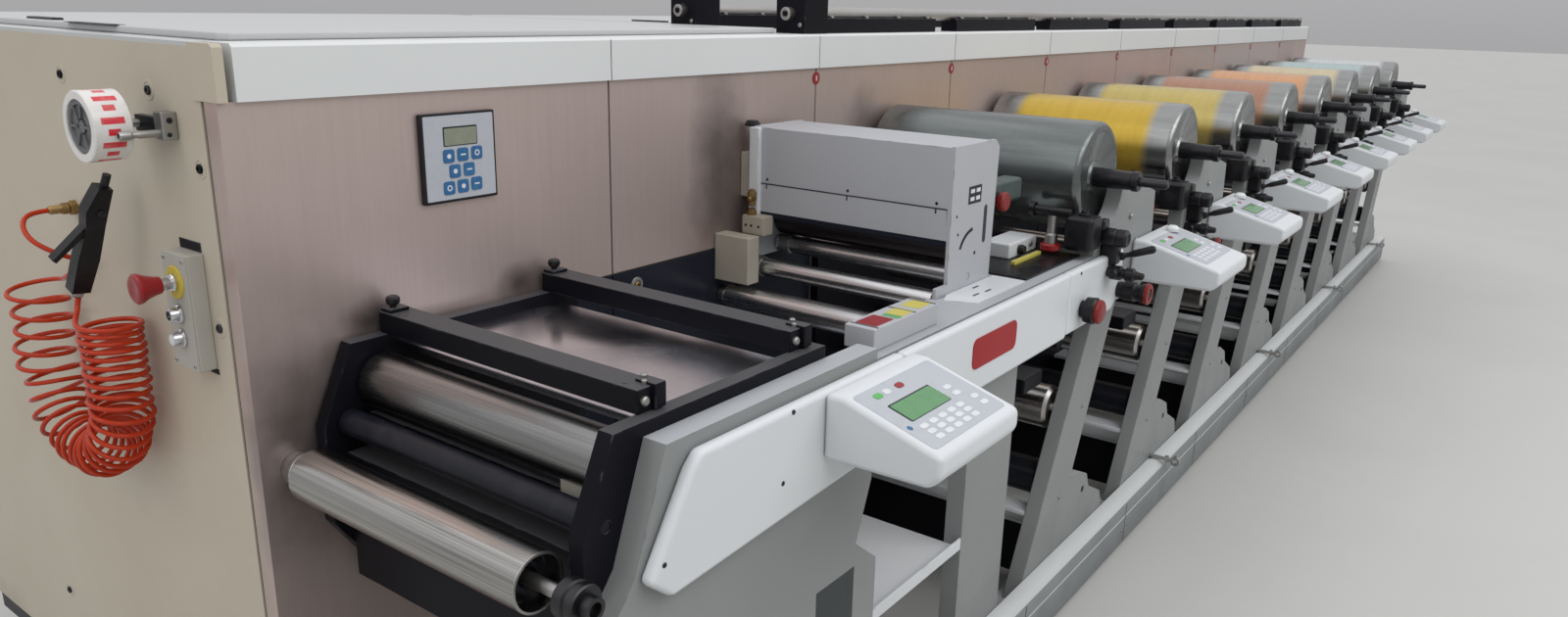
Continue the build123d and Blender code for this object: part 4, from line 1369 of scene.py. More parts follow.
# %% [markdown]
# ## Blow gun and inlet
#
# The blow gun hangs nose up on the wall. Its frame solid has the right outline, so it is shown by
# a copy with well rounded edges, and gets a grey nozzle, a metal thread where the hose goes on,
# and a screw at the lever. The inlet is a brass barb in the hose with a hexagon at the wall.
#
# %% Blow gun
GUN_TOP = Vector((-40.0, 272.0, 1230.0))
GUN_FOOT = Vector(GUN_END)
HOSE_INLET = (0, 512, 1144)


def aimed(piece, start, direction):
    """Turns a part that was made along X at the drawing's origin, and moves it to its start."""
    turn = Vector((1, 0, 0)).rotation_difference(Vector(direction)).to_matrix().to_4x4()
    piece.data.transform(Matrix.Translation(at(*start)) @ turn @ Matrix.Translation(-at(0, 0, 0)))
    return piece


def make_gun():
    gun = paint(refined("blow_gun", 5.0, 4, "blow_gun_body"), black_plastic)
    axis = (GUN_TOP - GUN_FOOT).normalized()
    across = Vector((0, -1, 0.2)).normalized()
    lever = GUN_FOOT + axis * 142 + across * 12
    nozzle = [(0, 0), (0, 8), (8, 8), (10, 6.2), (30, 5.2), (34, 3.6), (36, 2.6), (36, 0)]
    thread = [(3, 8.5), (9, 8.5), (10, 7.5), (12, 7.5), (13, 8.5), (18, 8.5), (18, 0)]
    screw = [(0, 0), (0, 6), (5, 6), (7, 4.5), (7, 0)]
    pieces = [gun]
    for name, profile, steps, start, direction, finish, slot in (
        ("gun_nozzle", nozzle, 20, GUN_TOP - axis * 36, axis, grey_dark, "black_plastic"),
        ("gun_thread", thread, 6, GUN_FOOT - axis, axis, zinc, "brass_fitting"),
        ("gun_screw", screw, 16, lever, across, black_plastic, "black_plastic"),
    ):
        piece = aimed(turned(name, "x", (0, 0, 0), profile, steps), start, direction)
        pieces.append(fit(paint(piece, finish), slot))
    fit(gun, "black_plastic", stands_for=["blow_gun"])
    return pieces


def make_inlet():
    barb = [(-40, 0), (-42, 3), (-42, 5)]
    for ridge in range(5):
        start = -40 + ridge * 3.4
        barb += [(start, 6.4), (start + 2.6, 7.6)]
    barb += [(-23, 7.6), (-22, 9.5), (-13, 9.5), (-11, 8), (-10, 8), (-10, 0)]
    hexagon = [(-11, 0), (-11, 10.5), (-10, 12), (-1, 12), (0.5, 12), (0.5, 0)]
    barrel = turned("inlet_barb", "x", HOSE_INLET, barb, 24)
    nut = turned("inlet_nut", "x", HOSE_INLET, hexagon, 6)
    fitting = paint(join("air_inlet_fitting", [barrel, nut]), brass)
    fit(fitting, "brass_fitting", stands_for=["air_inlet"])


gun_pieces = make_gun()
make_inlet()
print("gun pieces", len(gun_pieces))

# %% [markdown]
# The hose keeps its real length and thickness, gets its orange finish and stands in for the
# frame's hose nodes. The gun's pieces are on its free end, and it leaves the press at the mouth of
# the barb.
#
# %% The hose's finish
paint(air_hose, hose_orange)
fit(air_hose, "orange_hose", stands_for=["hose_tails", "hose_coil"])

# %% [markdown]
# ## Keypads
#
# The keypad on the wall is a black moulded case with a pale foil on its front. The foil is a
# thin plate with round corners, and on it stand a display in a dark rim and eight blue keys. A
# key is a rounded plate whose front edge is softened, made once and copied to its place.
#
# %% Wall keypad
PAD_LEFT, PAD_LOW, PAD_SIZE, PAD_FRONT = 309.0, 1170.0, 146.0, -9.0
KEY_SHARES = [
    (0.327, 0.48), (0.53, 0.475), (0.735, 0.47), (0.405, 0.665), (0.61, 0.66), (0.31, 0.86),
    (0.51, 0.855), (0.71, 0.845),
]


def flat_plate(name, x0, x1, z0, z1, radius, back, front, edge=0.0):
    piece = plate(name, "xz", rounded_outline(x0, x1, z0, z1, radius), back, front)
    return round_edges(piece, edge, 2) if edge else piece


def make_wall_keypad():
    kit = Kit("wall_keypad")
    right, top = PAD_LEFT + PAD_SIZE, PAD_LOW + PAD_SIZE
    case = flat_plate("pad_case", PAD_LEFT, right, PAD_LOW, top, 2.5, 0.0, PAD_FRONT, 1.2)
    kit.add(black_plastic, case)
    left, high, size = PAD_LEFT + 5, top - 4, PAD_SIZE - 9
    front = PAD_FRONT - 0.5
    foil = (left, left + size, high - size, high)
    kit.add(pad_face, flat_plate("pad_foil", *foil, 2, PAD_FRONT + 0.5, front))
    rim = (left + 0.265 * size, left + 0.755 * size, high - 0.365 * size, high - 0.135 * size)
    kit.add(black_plastic, flat_plate("display_rim", *rim, 2, front + 0.3, front - 0.5))
    display = (rim[0] + 2, rim[1] - 1.5, rim[2] + 1.5, rim[3] - 2.5)
    kit.add(screen_grey, flat_plate("display", *display, 1, front, front - 0.8))
    key = flat_plate("key", -11, 11, -11, 11, 4.5, front + 0.3, front - 1.6, 0.7)
    dot = [(0.3, 0), (0.3, 4), (-0.35, 4), (-0.35, 0)]
    ring = [(0.3, 3), (0.3, 5), (-0.35, 5), (-0.35, 3), (0.3, 3)]
    marks = [
        turned("key_dot", "y", (0, front - 1.5, 0), dot, 16),
        box("key_bar", (-5, front - 1.9, -1.2), (5, front - 1.3, 1.2)),
        turned("key_ring", "y", (0, front - 1.5, 0), ring, 16),
    ]
    for number, (across, down) in enumerate(KEY_SHARES):
        x, z = left + across * size, high - down * size
        kit.add(key_blue, copy_to(key, "key_copy", x, 0, z))
        kit.add(key_face, copy_to(marks[number % len(marks)], "key_mark", x, 0, z))
    discard(key, *marks)
    kit.close(["wall_keypad"])


make_wall_keypad()

# %% [markdown]
# The consoles slope towards the operator, each with a membrane keypad: a pale foil, a green
# display, a red and a green key above it, and rows of oval keys. A foil is laid out flat, at the
# height of the console's back edge, and then turned down to the slope about that edge.
#
# %% Console keypads
CONSOLE_EDGE = 945.0
OVALS = [(u, v) for v in (112, 126, 140) for u in (52, 80, 108, 136, 164)]
OVALS += [(192, 72), (192, 90), (213, 112), (213, 130)]
# Finish, name, left and right, top and bottom, corner radius, height over the console from the
# underside to the top, and how far the top edge is rounded.
FOIL_PARTS = [
    (pad_face, "foil", 12, 240, 6, 156, 8, -0.6, 0.7, 0),
    (black_plastic, "screen_rim", 44, 166, 50, 96, 3, 0.4, 1.1, 0),
    (screen_green, "screen", 47, 165, 53, 95, 2, 0.6, 1.5, 0),
    (button_red, "key_red", 108, 128, 20, 32, 5.9, 0.4, 2.0, 0.6),
    (key_green, "key_green", 46, 66, 20, 32, 5.9, 0.4, 2.0, 0.6),
    (key_face, "key_white", 72, 90, 20, 32, 5.9, 0.4, 1.8, 0.6),
    (key_blue, "mark_corner", 20, 30, 98, 108, 4.9, 0.5, 1.0, 0),
]


def console_keypad(name, left, back, slope, shifts=()):
    kit = Kit(name)

    def flat(label, u0, u1, v0, v1, radius, low, high, edge):
        outline = rounded_outline(left + u0, left + u1, back - v1, back - v0, radius)
        piece = plate(label, "xy", outline, CONSOLE_EDGE + low, CONSOLE_EDGE + high)
        if edge:
            round_edges(piece, edge, 2)
        return rotated(piece, "x", slope, (left, back, CONSOLE_EDGE))

    for finish, *measures in FOIL_PARTS:
        kit.add(finish, flat(*measures))
    oval = flat("key_oval", 42, 62, 107, 117, 4.9, 0.5, 1.5, 0.4)
    down = math.radians(slope)
    first_u, first_v = OVALS[0]
    for u, v in OVALS:
        step = v - first_v
        shift = (u - first_u, -step * math.cos(down), -step * math.sin(down))
        kit.add(key_face, copy_to(oval, "key_oval_copy", *shift))
    discard(oval)
    kit.repeat(shifts)
    kit.close()


console_keypad("feed_keypad", 516.0, -689.0, 16.76)
console_keypad("unit_keypad", FIRST_DRUM_X + 160, -666.0, 14.82, OTHER_UNITS)

# %% [markdown]
# ## The splice table
#
# The clamp bars are held by a block at each end. At the operator's end there is a bright bolt on
# the bar's face and two small cylinders on its top, and at the far end a black knob.
#
# %% Clamp bar ends, cover screws
BAR_TOP = 1017.0
BAR_FRONT = -572.0
BAR_PLACES = (231.0, 566.0)
BOLT = [(0.5, 0), (0.5, 7), (-4, 7), (-6, 5), (-6.6, 0)]
HIGH_PIN = [(-1, 0), (-1, 5), (7, 5), (8.5, 3.5), (8.5, 0)]
LOW_PIN = [(-1, 0), (-1, 4), (5, 4), (6, 3), (6, 0)]
BAR_KNOB = [(-1, 0), (-1, 9), (3, 9), (5, 5), (9, 5), (11, 9), (15, 11), (21, 11), (24, 8), (24, 0)]


def make_table_fittings():
    kit = Kit("table_fittings")
    for x in BAR_PLACES:
        kit.add(
            zinc,
            turned("bar_bolt", "y", (x - 12, BAR_FRONT, 1000), BOLT, 20),
            turned("bar_pin", "z", (x + 14, -548, BAR_TOP), HIGH_PIN, 18),
            turned("bar_pin", "z", (x + 2, -560, BAR_TOP), LOW_PIN, 18),
        )
        block = box("bar_block", (x + 2, BAR_FRONT - 8, 985), (x + 24, BAR_FRONT + 30, BAR_TOP + 4))
        kit.add(black_paint, round_edges(block, 3))
        kit.add(black_plastic, turned("bar_knob", "z", (x - 6, -26, BAR_TOP), BAR_KNOB, 28))
        clip = box("bar_clip", (x - 20, -40, BAR_TOP - 0.5), (x + 14, -12, BAR_TOP + 6))
        kit.add(black_paint, round_edges(clip, 2))
        for y in (-538, -66):
            kit.add(black_paint, hole_shade_disc("bar_hole", "z", (x - 12, y, BAR_TOP), 3.5, 1))
    # A small bracket between the rollers, with a round opening that faces the near end.
    bracket = box("eye_bracket", (161, -552, 850), (165.5, -472, 902))
    kit.add(fitting_paint, round_edges(bracket, 1.5))
    kit.add(black_paint, hole_shade_disc("eye_opening", "x", (161, -528, 866), 15))
    ring = [(0, 12.2), (0, 29), (-9, 31), (-12, 30), (-12, 20), (-26, 18), (-26, 12.2), (0, 12.2)]
    kit.add(chrome, turned("draw_far_ring", "y", (DRAW_X, -18, DRAW_Z), ring, 40))
    kit.close()


# The cabinet's bays lie between two corner posts, and the first two carry the infeed.
POST_WIDTH = 45
BAYS = 10
FEED_BAYS = 2
COVER_FRONT = -655.0
COVER_SCREWS = [
    (439, 938), (417, 835), (166, 815), (720, 905), (1535, 935), (1790, 925), (1600, 815),
]


def make_panel_fittings():
    """The bolt with its ring on the dark panel, and the red tags at the seams of the steel."""
    kit = Kit("panel_fittings")
    ring = [(0.5, 0), (0.5, 17), (-2, 17), (-3, 15.5), (-3, 11), (-1, 10), (-1, 0)]
    kit.add(zinc, turned("panel_ring", "y", (800, 0, 940), ring, 32))
    kit.add(brass, socket_screw("panel_bolt", "y", (800, -1, 940), 7, 5))
    disc = [(0.5, 0), (0.5, 15), (-1, 15), (-1.6, 14), (-1.6, 0)]
    tag = turned("seam_tag", "y", (POST_WIDTH, 0, 1328), disc, 32)
    stroke = box("tag_mark", (POST_WIDTH - 2, -2.2, 1322), (POST_WIDTH + 2, -1.4, 1334))
    for finish, pattern in ((button_red, tag), (key_face, stroke)):
        for bay in range(FEED_BAYS, BAYS):
            kit.add(finish, copy_to(pattern, pattern.name + "_copy", bay * BAY))
    discard(tag, stroke)
    kit.close()


def make_cover_screws():
    kit = Kit("cover_screws")
    for x, z in COVER_SCREWS:
        kit.add(black_paint, socket_screw("cover_screw", "y", (x, COVER_FRONT, z), 4, 1.2))
    kit.close()


make_table_fittings()
make_panel_fittings()
make_cover_screws()

# %% [markdown]
# ## The treater
#
# The hood is folded sheet with a seam across its front, where the lower strip is screwed on. Under
# it a dark brown roll shows, which the web runs over while it is treated. On the operator's end
# plate are a small label, a straight and a curved slot, and three holes. At the far end stands a
# post with a black knob, brass air fittings, a valve box and the rollers' bearings. Behind the
# hood, on the operator's side, is a small motor with a red knob.
#
# %% Treater fittings
HOOD_FRONT = 1136.0
HOOD_NEAR = -519
HOOD_FAR = -46
PLATE_FRONT = -528.0
ARC_MIDDLE = (1238, 1002)
ARC_RADII = (66, 60)
ARC_START, ARC_TURN, ARC_STEPS = 95, 58, 8
AIR_FITTINGS = [(1096, 10), (1076, 8), (1054, 11)]
POST_KNOB = [(0, 0), (0, 17), (6, 17), (8, 14), (10, 14), (12, 12), (12, 0)]
BEARING = [(0, 9), (0, 23), (-14, 24), (-26, 22), (-30, 14), (-30, 9), (0, 9)]
RED_KNOB = [(0, 0), (0, 12), (-6, 13), (-8, 20), (-18, 21), (-22, 18), (-22, 0)]

ground_brown = moulded("ground_brown", (0.018, 0.012, 0.014), (0.035, 0.028, 0.03), 0.3, 0.4)
ring_red = moulded("ring_red", (0.20, 0.012, 0.01), (0.11, 0.008, 0.007), 0.35, gloss=0.35)
green_dark = moulded("green_dark", (0.03, 0.05, 0.046), (0.05, 0.07, 0.065), 0.35)
slot_of_finish |= {
    ground_brown: "black_rubber", ring_red: "red_enamel", green_dark: "grey_green_paint"
}


def hood_strip(name, front, back, low, high):
    return box(name, (HOOD_FRONT - front, HOOD_NEAR, low), (HOOD_FRONT + back, HOOD_FAR, high))


def end_arc():
    """The curved slot: its outer edge there, and its inner edge back."""
    middle_x, middle_z = ARC_MIDDLE
    steps = range(ARC_STEPS + 1)
    points = []
    for radius, order in zip(ARC_RADII, (steps, reversed(steps))):
        for step in order:
            turn = math.radians(ARC_START + ARC_TURN * step / ARC_STEPS)
            points.append((middle_x + radius * math.cos(turn), middle_z + radius * math.sin(turn)))
    return plate("end_arc", "xz", points, PLATE_FRONT + 0.3, PLATE_FRONT - 1.2)


def dress_hood(kit):
    kit.add(treater_paint, round_edges(hood_strip("hood_strip", 2.2, 0.5, 1052, 1116), 1, 2))
    kit.add(blue_black_paint, hood_strip("strip_edge", 2.6, 0.4, 1043, 1054))
    kit.add(black_paint, hood_strip("hood_seam", 2.8, -0.2, 1115.4, 1117.4))
    ground_roll = [(HOOD_NEAR, 0), (HOOD_NEAR, 46), (-45, 46), (-45, 0)]
    kit.add(ground_brown, turned("ground_roll", "y", (1251, 0, 1030), ground_roll, 40))
    for y in (-75, -285, -494):
        kit.add(black_paint, socket_screw("strip_screw", "x", (HOOD_FRONT, y, 1126), 3.2, 1.5))
        low, high = (HOOD_FRONT - 2.7, y - 1.5, 1106), (HOOD_FRONT - 1, y + 1.5, 1116)
        kit.add(black_paint, box("strip_notch", low, high))
    back, face = PLATE_FRONT + 0.3, PLATE_FRONT - 0.7
    kit.add(black_plastic, flat_plate("end_label", 1206, 1262, 1118, 1154, 1.5, back, face))
    for x in (1213, 1238):
        for z in (1124, 1140):
            low, high = (x, PLATE_FRONT - 1.2, z), (x + 17, PLATE_FRONT - 0.6, z + 8)
            kit.add(key_face, box("label_patch", low, high))
    slot = flat_plate("end_slot", 1281, 1295, 1028, 1108, 6.9, PLATE_FRONT + 0.3, PLATE_FRONT - 0.5)
    kit.add(dark_glass, slot)
    for x, z, radius in ((1250, 1012, 4), (1160, 1100, 3), (1170, 1062, 3)):
        kit.add(black_paint, hole_shade_disc("end_hole", "y", (x, PLATE_FRONT, z), radius))
    kit.add(black_paint, end_arc())


def make_treater_fittings():
    kit = Kit("treater_details")
    dress_hood(kit)
    kit.add(moulded_white, round_edges(box("far_post", (1122, -60, 1012), (1136.5, -34, 1238)), 3))
    kit.add(black_plastic, turned("post_knob", "z", (1146, -24, 1238), POST_KNOB, 28))
    for z, radius in AIR_FITTINGS:
        profile = [(-2, 0), (-2, radius), (8, radius), (10, radius - 3), (14, radius - 3), (14, 0)]
        kit.add(brass, turned("air_fitting", "z", (1112, -52, z - 6), profile, 8))
    elbow = [(0, 0), (0, 6), (-22, 6), (-24, 4), (-24, 0)]
    kit.add(brass, turned("air_elbow", "x", (1123, -52, 1084), elbow, 12))
    kit.add(fitting_paint, round_edges(box("valve_box", (1100, -94, 1006), (1136, -34, 1048)), 3))
    for y in (-80, -60, -45):
        kit.add(black_paint, hole_shade_disc("valve_hole", "x", (1100, y, 1026), 3))
    block = turned("bearing", "y", (1226, -60, 967), BEARING, 32)
    kit.add(zinc, block, copy_to(block, "bearing_low", -110, 0, -32))
    kit.add(green_dark, round_edges(box("web_motor", (1330, -520, 1092), (1486, -470, 1142)), 9, 3))
    kit.add(ring_red, turned("web_knob", "y", (1364, -518, 1104), RED_KNOB, 32))
    kit.close()


make_treater_fittings()

# %% [markdown]
# The label box lies on the beam with coloured stickers on its lid: one red, two yellow and one
# green, all blank. The ledge beside the treater is covered by a white sheet with short slots, which
# paints the light from above on the ledge's top, and beyond it a sensor block stands on a black
# base, with a yellow bar beside it.
#
# %% Label box and ledge
LABEL_TOP = 985.0
LEDGE_TOP = 946.4
STICKERS = [
    (button_red, 742, 800, -604, -562),
    (label_green, 806, 822, -608, -574),
    (label_yellow, 824, 866, -606, -570),
    (label_yellow, 884, 930, -604, -566),
]
SENSOR_KNOB = [(0, 0), (0, 10), (-8, 12), (-16, 9), (-16, 0)]


def make_labels():
    kit = Kit("box_stickers")
    for finish, *sides in STICKERS:
        outline = rounded_outline(*sides, 3)
        kit.add(finish, plate("sticker", "xy", outline, LABEL_TOP - 0.3, LABEL_TOP + 0.5))
    for x in (736, 860, 932):
        low, high = (x, -611, LABEL_TOP - 0.3), (x + 3, -556, LABEL_TOP + 0.7)
        kit.add(black_paint, box("sticker_line", low, high))
    # A white sheet on the ledge's top paints the light from above.
    top_light_sheet = [(1092, -546), (1132, -530), (1346, -530), (1346, -606), (1120, -606)]
    kit.add(moulded_white, plate("ledge_top_light_sheet", "xy", top_light_sheet, LEDGE_TOP - 1.8, LEDGE_TOP))
    for x, y in ((1160, -578), (1206, -582), (1214, -550)):
        outline = rounded_outline(x, x + 26, y, y + 5, 2.4)
        kit.add(black_paint, plate("ledge_slot", "xy", outline, LEDGE_TOP - 0.2, LEDGE_TOP + 0.4))
    kit.add(black_plastic, round_edges(box("sensor_base", (1352, -604, 938), (1655, -420, 950)), 2))
    block = box("sensor_block", (1490, -500, 949), (1640, -430, 985))
    kit.add(moulded_white, round_edges(block, 5, 3))
    kit.add(black_plastic, turned("sensor_knob", "y", (1540, -499, 966), SENSOR_KNOB, 24))
    kit.add(zinc, socket_screw("sensor_bolt", "y", (1600, -500, 970), 7, 5))
    kit.add(label_yellow, round_edges(box("yellow_bar", (1448, -534, 949), (1592, -522, 958)), 2))
    kit.close()


make_labels()

# %% [markdown]
# ## The printing units
#
# Each unit has the same black fittings on its fin: a clamp body on the shoulder with a cup on an
# arm behind it, a grip, a lever under it, a knob with two lobes, and a low knob with a red ring.
# They are modelled for the first unit and copied to the other seven. The first unit's low
# fittings stand on the beam's cover, which is thicker than the fin, so they are made apart.
#
# %% Unit fittings
FIN_FRONT = -632.0
GRIP_LENGTH = 66
GRIP_RADIUS = 21
CLAMP_SCREW = [(0, 0), (0, 13), (8, 13), (10, 8), (15, 8), (15, 0)]
ARM_KNOB = [(0, 0), (0, 16), (12, 16), (14, 13), (14, 0)]
CUP_CAP = [(0, 0), (0, 19), (4, 24), (15, 24), (19, 20), (19, 0)]
CUP_BODY = [(0, 0), (0, 15), (20, 15), (24, 11), (66, 11), (66, 0)]
LEVER = [(-8, 0), (-8, 9), (4, 10), (12, 6), (20, 6), (30, 8.5), (74, 9.5), (80, 7), (82, 0)]
PIN = [(1, 0), (1, 7), (-5, 7), (-7, 5), (-7, 0)]
RUBBER_CAP = [(0, 0), (0, 17), (8, 17), (12, 14), (15, 9), (15, 0)]


def grip_profile(length, radius):
    """A moulded grip: a narrow neck, a shallow groove, and a rounded end with a rim."""
    return [
        (1, 0), (1, radius - 4), (-6, radius - 4), (-9, radius), (-length * 0.55, radius),
        (-length * 0.58, radius - 1.5), (-length * 0.62, radius - 1.5), (-length * 0.65, radius),
        (-length + 5, radius), (-length, radius - 5), (-length + 0.5, radius - 9),
        (-length + 3, radius - 12), (-length + 3, 0),
    ]


def make_unit_fittings():
    kit = Kit("unit_fittings")
    x = FIRST_DRUM_X
    grip = grip_profile(GRIP_LENGTH, GRIP_RADIUS)
    kit.add(
        black_plastic,
        turned("grip", "y", (x - 77, FIN_FRONT, 992), grip, 32),
        round_edges(box("clamp_body", (x - 176, -646, 966), (x - 106, -578, 1046)), 12, 4),
        turned("clamp_screw", "z", (x - 142, -612, 1042), CLAMP_SCREW, 20),
        round_edges(box("clamp_nose", (x - 109, -650, 1010), (x - 72, FIN_FRONT + 1, 1034)), 5, 3),
        round_edges(box("clamp_foot", (x - 74, -672, 922), (x - 34, FIN_FRONT + 1, 976)), 8, 3),
        rod("cup_arm", "y", (x - 160, -542, 1050), 10, 84),
        turned("cup_arm_knob", "y", (x - 160, -500, 1050), ARM_KNOB, 24),
    )
    kit.add(button_red, turned("cup_cap", "z", (x - 162, -545, 957), CUP_CAP, 28))
    kit.add(zinc, turned("cup_body", "z", (x - 162, -545, 975), CUP_BODY, 20))
    lever_start, lever_end = Vector((x - 26, -668, 938)), Vector((x - 10, -746, 966))
    lever = turned("lever", "x", (0, 0, 0), LEVER, 18)
    kit.add(black_plastic, aimed(lever, lever_start, lever_end - lever_start))
    pin = turned("saddle_pin", "y", (x + 118, FIN_FRONT, 1010), PIN, 20)
    low_pin = copy_to(pin, "saddle_pin_low", 60, 0, -70)
    fin_pin = copy_to(pin, "fin_pin", -140, 0, -110)
    kit.add(zinc, pin, low_pin, fin_pin)
    kit.add(band_white, turned("console_cap", "z", (x + 342, -676, 944), RUBBER_CAP, 28))
    kit.repeat(OTHER_UNITS)
    kit.close(["grips"])


make_unit_fittings()

# %% [markdown]
# The lobed knob has a wing on each side. The low knob has a red ring at its end. The cover of the
# beam has one more knob with a red face, before the first unit.
#
# %% Low fittings
WING = [(0, 0), (0, 9), (4, 12), (20, 12), (20, 0)]
# Finish, name, axis, how far right of the drum, how far before the seat, height, profile, steps.
LOW_FITTINGS = [
    (black_plastic, "lobed_knob", "y", -70, 0, 908, [
        (1, 0), (1, 12), (-6, 12), (-8, 17), (-32, 17), (-35, 12), (-42, 12), (-45, 16), (-62, 16),
        (-66, 11), (-74, 9), (-84, 8), (-86, 5), (-86, 0)], 28),
    (black_plastic, "knob_wing", "x", -98, 20, 908, WING, 20),
    (black_plastic, "knob_wing", "x", -64, 20, 908, WING, 20),
    (black_plastic, "low_knob", "y", 20, 0, 846, [
        (1, 0), (1, 20), (-14, 20), (-17, 24), (-42, 24), (-46, 19), (-56, 19), (-59, 24),
        (-70, 24), (-70, 0)], 32),
    (ring_red, "low_knob_ring", "y", 20, 69, 846, [
        (0, 0), (0, 26), (-7, 26), (-9, 23), (-9, 15), (-5, 14), (-5, 0)], 32),
    (black_plastic, "low_knob_end", "y", 20, 73, 846, [(0, 0), (0, 13), (-3, 13), (-3, 0)], 24),
]
COVER_KNOB = [
    (black_plastic, "cover_knob_body", "y", 1560 - FIRST_DRUM_X, 0, 848, [
        (1, 0), (1, 20), (-8, 20), (-11, 29), (-32, 31), (-36, 27), (-36, 0)], 36),
    (ring_red, "cover_knob_face", "y", 1560 - FIRST_DRUM_X, 35, 848, [
        (0, 0), (0, 26), (-6, 28), (-11, 26), (-14, 21), (-14, 0)], 36),
]


def low_fittings(name, fittings, x, seat, shifts=()):
    kit = Kit(name)
    for finish, piece, axis, right, before, z, profile, steps in fittings:
        kit.add(finish, turned(piece, axis, (x + right, seat - before, z), profile, steps))
    kit.repeat(shifts)
    kit.close()


low_fittings("first_low_fittings", LOW_FITTINGS, FIRST_DRUM_X, COVER_FRONT)
low_fittings("low_fittings", LOW_FITTINGS, FIRST_DRUM_X + BAY, FIN_FRONT, OTHER_UNITS[:-1])
low_fittings("cover_knob", COVER_KNOB, FIRST_DRUM_X, COVER_FRONT)

# %% [markdown]
# Behind each leg a plate carries the rollers' ends, held by a row of bolts. The bolts, the lug of
# the foot, and the ends of the rollers' shafts are made once and copied along the press.
#
# %% Leg fittings
LEG_FRONT = -592.0
PLATE_FACE = -552.0
# How far right of the drum's axis the leg's slanted edge is, at its low and its high end.
LEG_EDGE_LOW, LEG_LOW = 6.0, 336.0
LEG_EDGE_HIGH, LEG_HIGH = 287.0, 945.0
ROLLER_END = [(1, 0), (1, 30), (-6, 30), (-8, 27), (-8, 12), (-16, 11), (-16, 0)]
ROLLER_NUT = [(1, 0), (1, 16), (-9, 16), (-11, 13), (-11, 0)]
CROSS_ROD = [(-545, 0), (-545, 18), (-541, 20), (-36, 20), (-32, 18), (-22, 18), (-22, 0)]


def leg_edge(z):
    slant = (LEG_EDGE_HIGH - LEG_EDGE_LOW) / (LEG_HIGH - LEG_LOW)
    return FIRST_DRUM_X + LEG_EDGE_LOW + (z - LEG_LOW) * slant


def make_leg_fittings():
    kit = Kit("leg_fittings")
    x = FIRST_DRUM_X
    for z in (405, 520, 640, 750, 860):
        place = (leg_edge(z) + 34, PLATE_FACE, z)
        kit.add(zinc, socket_screw("plate_bolt", "y", place, 6, 5))
    for z in (300, 520, 760):
        kit.add(zinc, socket_screw("leg_bolt", "y", (leg_edge(z) - 55, LEG_FRONT, z), 5, 3))
    kit.add(black_paint, hole_shade_disc("lug_hole", "y", (x + 105, LEG_FRONT, 262), 9))
    kit.add(black_plastic, turned("roller_end", "y", (x + 96, PLATE_FACE, 545), ROLLER_END, 28))
    kit.add(zinc, turned("roller_nut", "y", (x + 8, PLATE_FACE, 430), ROLLER_NUT, 6))
    for finish, right, z in ((black_rubber, -40, 700), (slide_steel, 23, 790)):
        kit.add(finish, turned("cross_rod", "y", (x + right, 0, z), CROSS_ROD, 24))
    duct = box("duct", (x - 230, -540, 612), (x - 120, -22, 652))
    kit.add(black_paint, round_edges(duct, 6, 3))
    kit.repeat(OTHER_UNITS)
    kit.close()


make_leg_fittings()

# %% [markdown]
# Tie rods cross the rail at every second unit and end in a nut with an eye. The rail's cover is
# made of lengths, with a thin joint between them and a screw on each side of it.
#
# %% Tie rods and rail joints
TIE_Z = 158
RAIL_FACE = -640
RAIL_JOINTS = (1440, 2137, 2825, 3513, 4201, 4889, 5577, 6265)


def make_tie_rods():
    kit = Kit("tie_rods")
    x = FIRST_DRUM_X + BAY + 11
    straight = [(0, 0), (0, 6), (-106, 6), (-106, 0)]
    eye = [(-8, 7), (-8, 14), (8, 14), (8, 7), (-8, 7)]
    nut = [(0, 6), (0, 13), (-9, 13), (-9, 6), (0, 6)]
    kit.add(
        zinc,
        turned("tie_rod", "y", (x, -560, TIE_Z), straight, 16),
        turned("tie_eye", "x", (x, -672, TIE_Z), eye, 24),
        turned("tie_nut", "y", (x, -641, TIE_Z), nut, 6),
        round_edges(box("tie_saddle", (x - 14, -600, TIE_Z - 10), (x + 14, -566, TIE_Z - 5)), 1),
    )
    kit.repeat([2 * BAY * step for step in range(1, 4)])
    kit.close()


def make_rail_joints():
    kit = Kit("rail_joints")
    for x in RAIL_JOINTS:
        joint = box("rail_joint", (x - 1, RAIL_FACE - 0.6, 14), (x + 1, RAIL_FACE, 136))
        kit.add(black_paint, joint)
        for side in (-26, 26):
            kit.add(zinc, socket_screw("rail_screw", "y", (x + side, RAIL_FACE, 58), 5, 2))
    kit.close()


make_tie_rods()
make_rail_joints()

# %% [markdown]
# ## The deck and the slide rails
#
# Two round rails lie on black bases on the deck, and carry a black carriage each at the infeed
# end. The rails' ends show their bores. The bases are bolted down through their flanges.
#
# %% Rails
RAIL_PLACES = (50.0, 385.0)
RAIL_START = 1361.0
RAIL_Z = 1475.0
DECK_TOP = 1430.0
CARRIAGE_START = RAIL_START + 20
BASE_STARTS = [POST_WIDTH + (FEED_BAYS + 0.5 + unit) * BAY - 280 for unit in range(UNITS)]
BASE_BOLTS = (40, 200, 360, 520)


